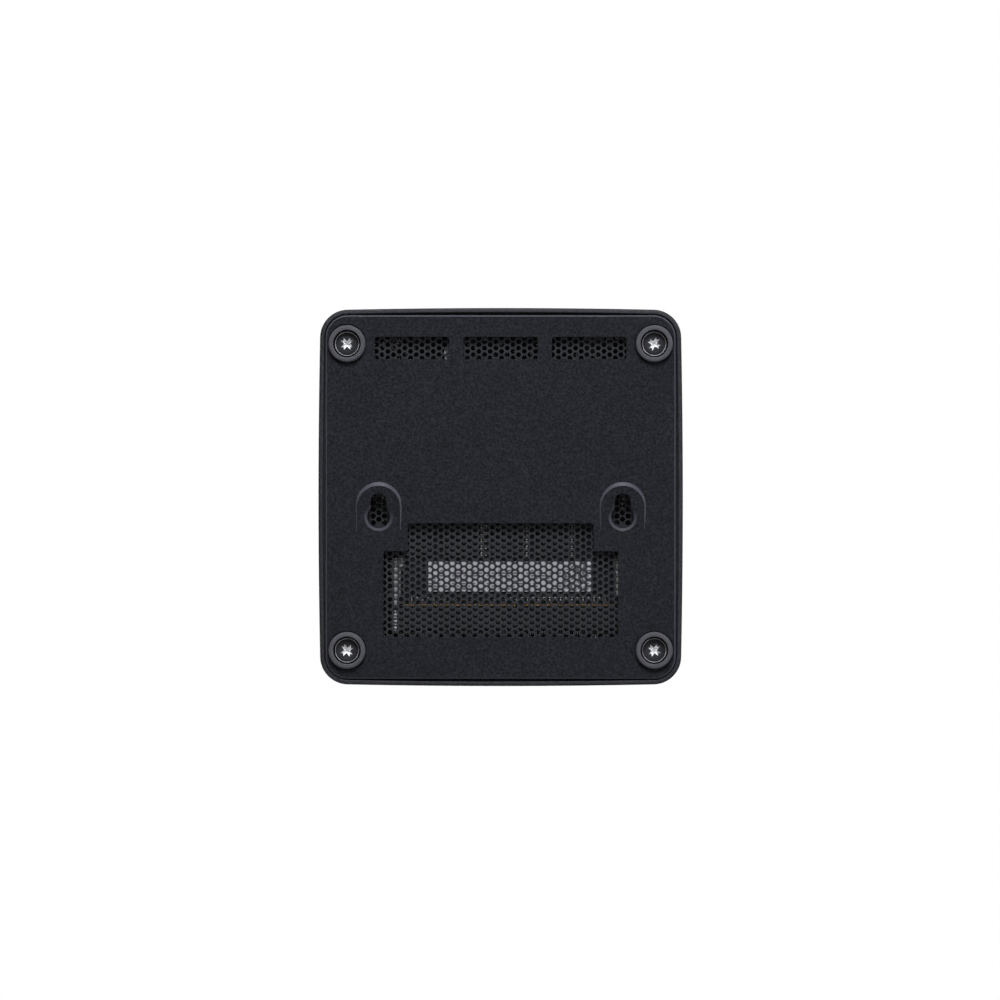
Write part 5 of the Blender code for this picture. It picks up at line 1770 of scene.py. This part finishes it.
@dataclass
class PowerButton:
    """A dished round button with a bevelled edge, its flange and stem."""

    edge: float = 0.0004
    dish: float = 0.0002
    radius: float = 0.0050
    wall: float = 0.0029
    stem: float = 0.0015
    light_ring: Pair = (0.62, 0.70)

    def build(self) -> None:
        """Carries the button's profile round its own axis.

        The dish is a part of a parabola. Its depth at radius r is the dish times 1 less (r over the rim)
        squared.
        """
        low, high = span("power_button")
        x, _, z = middle("power_button")
        radius, flange = self.radius, (high[0] - low[0]) / 2
        wall, end = self.wall, high[1] - low[1]
        rim = radius - self.edge
        share = np.linspace(0.06, 1.0, 9)
        dish = [(rim * s, self.dish * (1 - s * s) + 0.00002) for s in share]
        turn = np.linspace(0.0, QUARTER, 5)[1:]
        bevel = [(rim + self.edge * math.sin(t), self.edge * (1 - math.cos(t))) for t in turn]
        profile = dish + bevel + [
            (radius, wall), (flange - 0.0001, wall), (flange, wall + 0.0001), (flange, wall + 0.0008),
            (flange - 0.0001, wall + 0.0009), (self.stem, wall + 0.0009), (self.stem, end - 0.0001),
            (self.stem - 0.0002, end),
        ]
        inner, outer = (radius * share for share in self.light_ring)
        slots = [1 if inner < r <= outer else 0 for r, _ in profile[1:]]
        shape = Shape()
        shape.loft([np.insert(ring(r, 64), 1, y, 1) for r, y in profile], slots=slots)
        shape.flip()
        moved = Shape()
        moved.merge(shape, lambda p: p + np.array([x, low[1], z]))
        made = moved.make("power_button_dressed")
        dress(made, [BLACK, CLEAR], "black_plastic", "button", "power_button")


# ------------------------------------------------------------
# Inside
# ------------------------------------------------------------


@dataclass
class MemoryBank:
    """The memory module with its chips, label and gold fingers, in its socket with two sprung arms."""

    finger_pitch: float = 0.0006
    finger_width: float = 0.00042
    finger_end: float = 0.0042
    key_place: float = 0.0300
    key_half: float = 0.0008
    key_deep: float = 0.0028
    nick: float = 0.0005
    bite: float = 0.0009
    arm: float = 0.0012
    lip: float = 0.0008
    small: Triple = (0.00045, 0.0010, 0.00035)
    part_columns: tuple[float, ...] = (-0.0219, -0.0104, -0.0080, 0.0034, 0.0045, 0.0059, 0.0174)

    def module(self) -> None:
        """The card with a key notch, gold fingers on its edge and small parts between the chips."""
        low, high = span("memory_module")
        notch_x, notch = low[0] + self.key_place, self.key_half
        left, right, front, nick = low[0], high[0], low[1], self.nick
        ends = np.array([(0.0, 0.0180), (self.bite, 0.0184), (self.bite, 0.0212), (0.0, 0.0216)])
        outline = np.concatenate([
            [
                (left, front + nick), (left + nick, front), (notch_x - notch, front),
                (notch_x - notch, front + self.key_deep), (notch_x + notch, front + self.key_deep),
                (notch_x + notch, front), (right - nick, front), (right, front + nick),
            ],
            np.array([right, front]) + ends * np.array([-1.0, 1.0]),
            [(right, high[1]), (left, high[1])],
            np.array([left, front]) + ends[::-1],
        ])
        shape = Shape()
        shape.loft([lift(outline, low[2]), lift(outline, high[2])], 0)
        finger = Shape()
        half = self.finger_width / 2
        finger.block(
            (-half, low[1] + 0.0004, low[2] - 0.00005), (half, low[1] + self.finger_end, low[2] + 0.0001),
            0.00006, 0.00002, 1, arc=1
        )
        xs = np.arange(low[0] + 0.0012, high[0] - 0.0012, self.finger_pitch)
        xs = xs[np.abs(xs - notch_x) > notch + self.finger_width]
        shape.repeat(finger, np.stack([xs, 0 * xs, 0 * xs], 1))
        part = self.small_part()
        chips_low, chips_high = span("memory_chip_1")
        ys = np.arange(chips_low[1] + 0.0006, chips_high[1] - 0.0004, 0.0021)
        x, y = np.meshgrid(np.array(self.part_columns), ys, indexing="ij")
        level = np.full(x.size, low[2] - self.small[2] + 0.00002)
        shape.repeat(part, np.stack([x.ravel(), y.ravel(), level], 1))
        label_low = span("memory_label")[0]
        xs = np.arange(low[0] + 0.004, high[0] - 0.003, 0.0017)
        bottom = np.full(len(xs), label_low[1] - 0.0022)
        shape.repeat(part, np.stack([xs, bottom, np.full(len(xs), level[0])], 1))
        dress(
            shape.make("memory_card", 30.0), [MODULE, GOLD, CERAMIC, TINNED], "circuit_board", "chassis",
            "memory_module"
        )

    def small_part(self) -> Shape:
        """A ceramic block with a tinned cap over each end."""
        wide, long, tall = self.small
        part = Shape()
        part.block(
            (-wide / 2, -long / 2 + 0.0002, 0.0), (wide / 2, long / 2 - 0.0002, tall), 0.00004, 0.00002, 2,
            arc=1
        )
        for end in (-1, 1):
            middle = end * (long / 2 - 0.00013)
            part.block(
                (-wide / 2 - 0.00002, middle - 0.00013, -0.00001),
                (wide / 2 + 0.00002, middle + 0.00013, tall), 0.00005, 0.00003, 3, arc=1
            )
        return part

    def chips(self) -> None:
        """Moulded packages with draft on their sides, a moulding line and a dimple at one corner."""
        for index in range(1, 5):
            node = f"memory_chip_{index}"
            low, high = span(node)
            centre, half = (low + high) / 2, (high - low) / 2
            shape = Shape()
            levels = (
                (0.00012, low[2]), (0.00004, low[2] + 0.00006), (0.0, centre[2]), (0.00004, high[2] - 0.0001),
                (0.0001, high[2])
            )
            shape.loft([
                lift(
                    crowned_outline((half[0] - i, half[1] - i), 0.00025, 0.0, 3, 1, (centre[0], centre[1])), z
                ) for i, z in levels
            ])
            made = shape.make(f"memory_package_{index}", 30.0)
            paint(made, [EPOXY])
            dimple = Shape()
            dimple.turned(
                [(0.0005, low[2] - 0.0002), (0.0005, low[2]), (0.00035, low[2] + 0.00008)], 24,
                (low[0] + 0.0011, high[1] - 0.0011),
            )
            carve(made, dimple, "DIFFERENCE")
            dress(made, [EPOXY], "black_plastic", "chassis", node)

    def label(self) -> None:
        """The sticker, its edge a little round, with unreadable dashes and a block of random squares."""
        low, high = span("memory_label")
        centre, half = (low + high) / 2, (high - low) / 2
        shape = Shape()
        shape.slab(
            lambda i: crowned_outline(
                (half[0] - i, half[1] - i), 0.0005 - i, 0.0, 5, 1, (centre[0], centre[1])
            ),
            low[2], high[2], 0.00004,
        )
        paper = PrintedPaper(
            "label_paper", (0.66, 0.66, 0.70), (0.56, 0.56, 0.60), 0.55, 0.1,
            code_centre=(low[0] + 0.0052, centre[1]), code_half=0.0037,
            rows_low=low[1] + 0.0005, rows_high=low[1] + 0.0070,
        )
        dress(shape.make("memory_sticker"), [paper], "label", "chassis", "memory_label")

    def socket(self) -> None:
        """The socket: a long body with a slot, contact tails in front and metal brackets at its ends."""
        low, high = span("memory_socket")
        card_low, card_high = span("memory_module")
        made = Shape()
        made.block(tuple(low), tuple(high), 0.0005, 0.0002, 0, axis=Axis.X)
        body = made.make("memory_connector", 30.0)
        paint(body, [BLACK])
        gap = 0.0003
        slot = Shape()
        slot.block(
            card_low - gap, (card_high[0] + gap, high[1] + MM, card_high[2] + gap), 0.0002, 0.0001,
            axis=Axis.Y
        )
        carve(body, slot, "DIFFERENCE")
        lip = Shape()
        lip.block(
            (low[0] + 0.0010, high[1] - 0.0003, low[2]),
            (high[0] - 0.0010, high[1] + self.lip, low[2] + 0.0008), 0.0002, 0.0001, 0
        )
        carve(body, lip, "UNION")
        soften(body, 0.0001)
        dress(body, [BLACK], "black_plastic", "chassis", "memory_socket")
        trim = Shape()
        tail = Shape()
        tail.block(
            (-0.00018, low[1] - 0.0018, high[2] - 0.0003), (0.00015, low[1] + 0.0002, high[2] - 0.0001),
            0.00004, 0.00002, 0, arc=1
        )
        xs = np.arange(low[0] + 0.003, high[0] - 0.003, 0.0006)
        trim.repeat(tail, np.stack([xs, 0 * xs, 0 * xs], 1))
        for x in (low[0] + 0.0016, high[0] - 0.0016):
            trim.block(
                (x - 0.0006, low[1] - 0.0004, low[2] - 0.00028),
                (x + 0.0006, high[1] - 0.0006, low[2] + 0.0002), 0.0002, 0.0001, 0
            )
        dress(trim.make("memory_connector_metal", 30.0), [TINNED], "bright_metal", "chassis")

    def latch(self, side: str) -> None:
        """A bent strip: an arm along the card's end, an inward hook and a round thumb tab."""
        node = f"memory_latch_{side}"
        low, high = span(node)
        inward = 1 if side == "left" else -1
        outer = low[0] if side == "left" else high[0]
        arm, hook, strip = (
            sorted((outer + inward * near, outer + inward * far))
            for near, far in ((0.0, self.arm), (self.arm / 2, 0.0031), (0.0010, 0.0022))
        )
        front, back, level = low[1], high[1], low[2]
        shape = Shape()
        shape.block((arm[0], front, level), (arm[1], back, high[2]), 0.0003, 0.0002)
        shape.block(
            (hook[0], back - 0.0030, level + 0.0001), (hook[1], back - 0.0001, level + 0.0005), 0.0004, 0.0001
        )
        shape.block(
            (strip[0], front + 0.0030, level), (strip[1], back - 0.0028, level + 0.0003), 0.0003, 0.00008
        )
        a = np.linspace(0.0, QUARTER, 6)
        dome = [(0.0006 * math.sin(t) + 0.00005, low[2] + 0.0001 - 0.00028 * math.cos(t)) for t in a]
        # The dome takes slot 1, the paler tinned finish, as a painted highlight: a bright dot on the tab.
        shape.turned(
            dome + [(0.00065, low[2] + 0.0003)], 24, (outer + inward * 0.0019, high[1] - 0.0012), slot=1
        )
        dress(shape.make(f"memory_arm_{side}", 30.0), [BRIGHT, TINNED], "bright_metal", f"latch_{side}", node)

    def build(self) -> None:
        """Makes the whole bank."""
        self.module()
        self.chips()
        self.label()
        self.socket()
        for side in ("left", "right"):
            self.latch(side)


@dataclass
class SmallParts:
    """The parts soldered under the board: capacitors, chips, coils and the sockets' pins."""

    seed: int = 20
    margin: float = 0.002

    def ceramic(self) -> Shape:
        """A small ceramic part with a tinned cap over each end, hanging from Z = 0."""
        part = Shape()
        part.block((-0.0003, -0.0005, -0.0006), (0.0003, 0.0005, 0.0), 0.00006, 0.00003, 0, arc=1)
        for end in (-1, 1):
            part.block(
                (-0.00034, end * 0.00065 - 0.0002, -0.00062), (0.00034, end * 0.00065 + 0.0002, 0.0), 0.00008,
                0.00004, 1, arc=1
            )
        return part

    def package(self, width: float, depth: float, tall: float, pins: int) -> Shape:
        """A flat package with a row of bent leads along two sides."""
        shape = Shape()
        shape.block((-width / 2, -depth / 2, -tall), (width / 2, depth / 2, -0.0001), 0.0003, 0.0001, 2)
        lead = Shape()
        t = np.array([0.0, 0.0004, 0.0007, 0.0012])
        fall = np.array([-tall * 0.5, -tall * 0.5, -0.00012, -0.00012])
        rings = [
            np.array(
                [(-0.00012, y, z), (0.00012, y, z), (0.00012, y, z + 0.0001), (-0.00012, y, z + 0.0001)]
            ) for y, z in zip(t, fall)
        ]
        lead.loft(rings[::-1], 1)
        mirrored = Shape()
        mirrored.merge(lead, lambda p: p * np.array([-1.0, -1.0, 1.0]))
        xs = (np.arange(pins) - (pins - 1) / 2) * (width * 0.86 / max(pins - 1, 1))
        shape.repeat(lead, np.stack([xs, np.full(pins, depth / 2), 0 * xs], 1))
        shape.repeat(mirrored, np.stack([xs, np.full(pins, -depth / 2), 0 * xs], 1))
        return shape

    def build(self) -> None:
        """Sets the parts under the board, clear of the cards, the memory and the bosses."""
        low, high = span("mainboard")
        level = low[2]
        rng = np.random.default_rng(self.seed)
        taken = []
        for node in (
            "memory_socket", "memory_module", "ssd_card", "ssd_connector", "ssd_screw", "wifi_card",
            "clock_cell", *(f"board_screw_{index}" for index in range(1, 5))
        ):
            a, b = span(node)
            taken.append((a[0] - 0.0008, a[1] - 0.0008, b[0] + 0.0008, b[1] + 0.0008))
        for place in CORNERS:
            a, b = span(f"foot_{place}")
            taken.append((a[0] - 0.001, a[1] - 0.001, b[0] + 0.001, b[1] + 0.001))

        def free(points: Array, half: Pair) -> Array:
            """True where a part of some half size at a point stays clear of all that is taken."""
            clear = (np.abs(points) < high[:2] - np.array(half) - self.margin).all(1)
            for x0, y0, x1, y1 in taken:
                hit = (points[:, 0] > x0 - half[0]) & (points[:, 0] < x1 + half[0])
                hit &= (points[:, 1] > y0 - half[1]) & (points[:, 1] < y1 + half[1])
                clear &= ~hit
            return clear

        shape = Shape()
        for x, y, width, depth, pins in (
            (0.0385, 0.0250, 0.0100, 0.0070, 12), (-0.0290, 0.0460, 0.0060, 0.0045, 8),
            (0.0120, 0.0485, 0.0050, 0.0040, 6), (-0.0450, -0.0080, 0.0050, 0.0040, 6),
            (0.0430, -0.0100, 0.0060, 0.0050, 8), (-0.0100, 0.0080, 0.0070, 0.0060, 10),
        ):
            if not free(np.array([[x, y]]), (width / 2, depth / 2 + 0.001))[0]:
                continue
            shape.repeat(self.package(width, depth, 0.0012, pins), np.array([[x, y, level]]))
            apart_x, apart_y = width / 2 + 0.0006, depth / 2 + 0.0014
            taken.append((x - apart_x, y - apart_y, x + apart_x, y + apart_y))
        grid_x, grid_y = np.meshgrid(
            np.arange(-0.050, 0.051, 0.0024), np.arange(-0.052, 0.053, 0.0029), indexing="ij"
        )
        spots = np.stack([grid_x.ravel(), grid_y.ravel()], 1)
        spots += rng.uniform(-0.0005, 0.0005, spots.shape)
        spots = spots[free(spots, (0.0006, 0.0010)) & (rng.uniform(size=len(spots)) < 0.62)]
        shape.repeat(self.ceramic(), np.column_stack([spots, np.full(len(spots), level)]))
        joint = Shape()
        joint.turned(
            [(0.0001, -0.0009), (0.0002, -0.0008), (0.00028, -0.0003), (0.0006, -0.00002)], 10, slot=1
        )
        pins = []
        for node in (
            "usb_rear_lower", "hdmi_left", "hdmi_right", "lan_jack", "dc_jack", "usb_front_left",
            "usb_front_right"
        ):
            a, b = span(node)
            xs = np.arange(a[0] + 0.0012, b[0] - 0.0008, 0.0022)
            for y in (a[1] + 0.0035, a[1] + 0.0060):
                pins += [(x, y, level) for x in xs]
        pins = np.array(pins)
        pins = pins[free(pins[:, :2], (0.0, 0.0))]
        shape.repeat(joint, pins)
        dress(shape.make("board_parts", 30.0), [CERAMIC, BRIGHT, EPOXY], "circuit_board", "chassis")


@dataclass
class Interior:
    """The nodes inside the case that keep their CAD shape, with the finish of each."""

    finishes: dict[str, Finish] = field(default_factory=lambda: {
        "mainboard": BOARD, "ssd_card": MODULE, "wifi_card": BOARD, "ssd_chip": EPOXY, "ssd_connector": BLACK,
        "ssd_screw": BRIGHT, "clock_cell": BRIGHT, "processor": BRIGHT, "heatsink": ALUMINIUM,
        "blower_housing": BLACK, "fan_rotor": BLACK, "button_switch": BLACK, "light_pipe": CLEAR,
        **{f"board_screw_{i}": BRIGHT for i in range(1, 5)},
    })

    def build(self, frame: dict) -> None:
        """Coats every node."""
        for node, finish in self.finishes.items():
            coat(frame, node, finish)
            LOG.info("%s: kept, %s", node, finish.name)


# ------------------------------------------------------------
# Studio
# ------------------------------------------------------------


@dataclass(frozen=True)
class Softbox:
    """A square area light that faces a point near the computer."""

    name: str
    place: Triple
    size: float
    power: float
    colour: Colour = (1.0, 1.0, 1.0)

    def build(self) -> None:
        """Sets the light up, out of the camera's sight."""
        data = bpy.data.lights.new(self.name, "AREA")
        data.shape = "SQUARE"
        data.size = self.size
        data.energy = self.power
        data.color = self.colour
        made = bpy.data.objects.new(self.name, data)
        bpy.context.scene.collection.objects.link(made)
        made.location = self.place
        aim = Vector((0.0, 0.0, 0.01)) - Vector(self.place)
        made.rotation_euler = aim.to_track_quat("-Z", "Y").to_euler()
        made.visible_camera = False


@dataclass
class Studio:
    """The camera under the computer, a pale floor seen only from above, soft lights and a white room."""

    distance: float = 2.0
    sensor: float = 36.0
    sight: float = 50.0
    frame_width: float = 0.3070
    shift: Pair = (0.0002, -0.0009)
    floor_size: float = 6.0
    floor_clear: Pair = (0.22, 0.60)
    room_light: float = 0.13
    softboxes: tuple[Softbox, ...] = (
        Softbox("light_below_rear", (0.0, 1.15, -1.0), 0.55, 36.0, (0.96, 0.97, 1.0)),
        Softbox("light_below_front", (0.35, -1.0, -1.5), 0.5, 7.0, (0.96, 0.98, 1.0)),
        Softbox("light_below_side", (-1.1, 0.2, -0.9), 0.5, 7.0, (0.96, 0.98, 1.0)),
        Softbox("light_above", (0.3, -0.4, 1.5), 1.1, 26.0),
        Softbox("light_front", (0.9, -1.4, 0.7), 0.9, 13.0, (0.97, 0.98, 1.0)),
        Softbox("light_rear", (-1.1, 1.3, 0.8), 0.9, 13.0, (1.0, 0.99, 0.97)),
    )

    def camera(self) -> None:
        """A long lens straight below, its frame as wide as frame_width at the cover."""
        data = bpy.data.cameras.new("camera")
        data.sensor_width = self.sensor
        data.lens = data.sensor_width * (self.distance + span("bottom_cover")[0][2]) / self.frame_width
        made = bpy.data.objects.new("camera", data)
        bpy.context.scene.collection.objects.link(made)
        made.location = (*self.shift, -self.distance)
        made.rotation_euler = (0.0, math.pi, 0.0)
        data.clip_end = self.sight
        bpy.context.scene.camera = made

    def floor(self) -> None:
        """A flat grid with a faint grain that fades into white, and is clear from below.

        It takes shadows and blocks no light. The share of white grows with the distance from the computer.
        """
        side = np.linspace(-self.floor_size, self.floor_size, 25)
        x, y = np.meshgrid(side, side, indexing="ij")
        number = np.arange(x.size).reshape(x.shape)
        shape = Shape()
        quads = np.stack(
            [number[:-1, :-1], number[1:, :-1], number[1:, 1:], number[:-1, 1:]], 2
        ).reshape(-1, 4)
        shape.add(np.stack([x.ravel(), y.ravel(), 0 * x.ravel() - 0.00005], 1), [quads])
        made = shape.make("floor")
        material = bpy.data.materials.new("pale_floor")
        material.use_nodes = True
        nodes = Nodes(material.node_tree)
        shader = material.node_tree.nodes["Principled BSDF"]
        noise = nodes.noise(nodes.place(0.02), 4.0)
        pale = nodes.mix(noise, (0.83, 0.83, 0.83, 1), (0.87, 0.87, 0.87, 1))
        nodes.put(shader.inputs["Base Color"], pale)
        shader.inputs["Roughness"].default_value = 0.7
        clear = nodes.add("ShaderNodeBsdfTransparent")
        behind = nodes.add("ShaderNodeNewGeometry").outputs["Backfacing"]
        blend = nodes.add("ShaderNodeMixShader")
        nodes.put(blend.inputs[0], behind)
        distance = nodes.add("ShaderNodeVectorMath", {"operation": "LENGTH"})
        nodes.put(distance.inputs[0], nodes.place())
        glow = nodes.add("ShaderNodeEmission")
        fade = nodes.add("ShaderNodeMixShader")
        nodes.put(fade.inputs[0], nodes.spread(distance.outputs["Value"], *self.floor_clear, 0.0, 1.0))
        nodes.put(fade.inputs[1], shader.outputs[0])
        nodes.put(fade.inputs[2], glow.outputs[0])
        nodes.put(blend.inputs[1], fade.outputs[0])
        nodes.put(blend.inputs[2], clear.outputs[0])
        nodes.put(material.node_tree.nodes["Material Output"].inputs["Surface"], blend.outputs[0])
        made.data.materials.append(material)
        made.visible_shadow = False
        made.visible_diffuse = False
        made.visible_glossy = False
        made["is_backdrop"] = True

    def room(self) -> None:
        """White to the camera, and a softer grey for the light that it gives."""
        world = bpy.data.worlds.new("room")
        world.use_nodes = True
        bpy.context.scene.world = world
        nodes = Nodes(world.node_tree)
        seen = nodes.add("ShaderNodeLightPath").outputs["Is Camera Ray"]
        background = world.node_tree.nodes["Background"]
        nodes.put(background.inputs["Color"], (1.0, 1.0, 1.0, 1.0))
        nodes.put(background.inputs["Strength"], nodes.spread(seen, 0.0, 1.0, self.room_light, 1.0))
        bpy.context.scene.view_settings.view_transform = "Standard"

    def build(self) -> None:
        """Sets everything up."""
        self.camera()
        self.floor()
        self.room()
        for softbox in self.softboxes:
            softbox.build()


SOCKETS = (
    Socket("usb_front_left", Kind.USB, False), Socket("usb_front_right", Kind.USB, False),
    Socket("usb_c_front", Kind.USB_C, False), Socket("audio_jack", Kind.AUDIO, False),
    Socket("dc_jack", Kind.POWER, True), Socket("hdmi_left", Kind.VIDEO, True),
    Socket("hdmi_right", Kind.VIDEO, True), Socket("lan_jack", Kind.NETWORK, True),
    Socket("usb_rear_lower", Kind.USB, True), Socket("usb_rear_upper", Kind.USB, True),
)
CROSS_TURNS = (38.0, 52.0, 31.0, 44.0)
BUTTON_HOLE = 0.0053
LIGHT_HOLE = 0.0011


def main(frame: dict) -> None:
    """Builds the computer piece by piece, then the studio.
    """
    screws = []
    for place, turn in zip(CORNERS, CROSS_TURNS):
        centre = tuple(middle(f"cover_screw_{place}")[:2])
        screws.append(centre)
        ScrewedFoot(place, centre, turn).build()
    cover = BottomCover()
    cover.build(screws)
    VentSheets().build(cover)
    x, _, level = middle("power_button")
    button, light = (x, BUTTON_HOLE), (middle("light_pipe")[0], LIGHT_HOLE)
    TopShell().build(screws, SOCKETS, button, light, level)
    for socket in SOCKETS:
        socket.build()
    PowerButton().build()
    MemoryBank().build()
    SmallParts().build()
    Interior().build(frame)
    Studio().build()


def corners(bounds: tuple[Vector, Vector]) -> list[list[float]]:
    """Bounds as plain lists."""
    return [list(corner) for corner in bounds]


if __name__ == "__main__":
    logging.basicConfig(level=logging.INFO, stream=sys.stdout, format="%(name)s %(message)s")
    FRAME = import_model()
    CAD_BOX = corners(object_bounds())
    main(FRAME)
    {"cad": CAD_BOX, "visual": corners(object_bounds())}
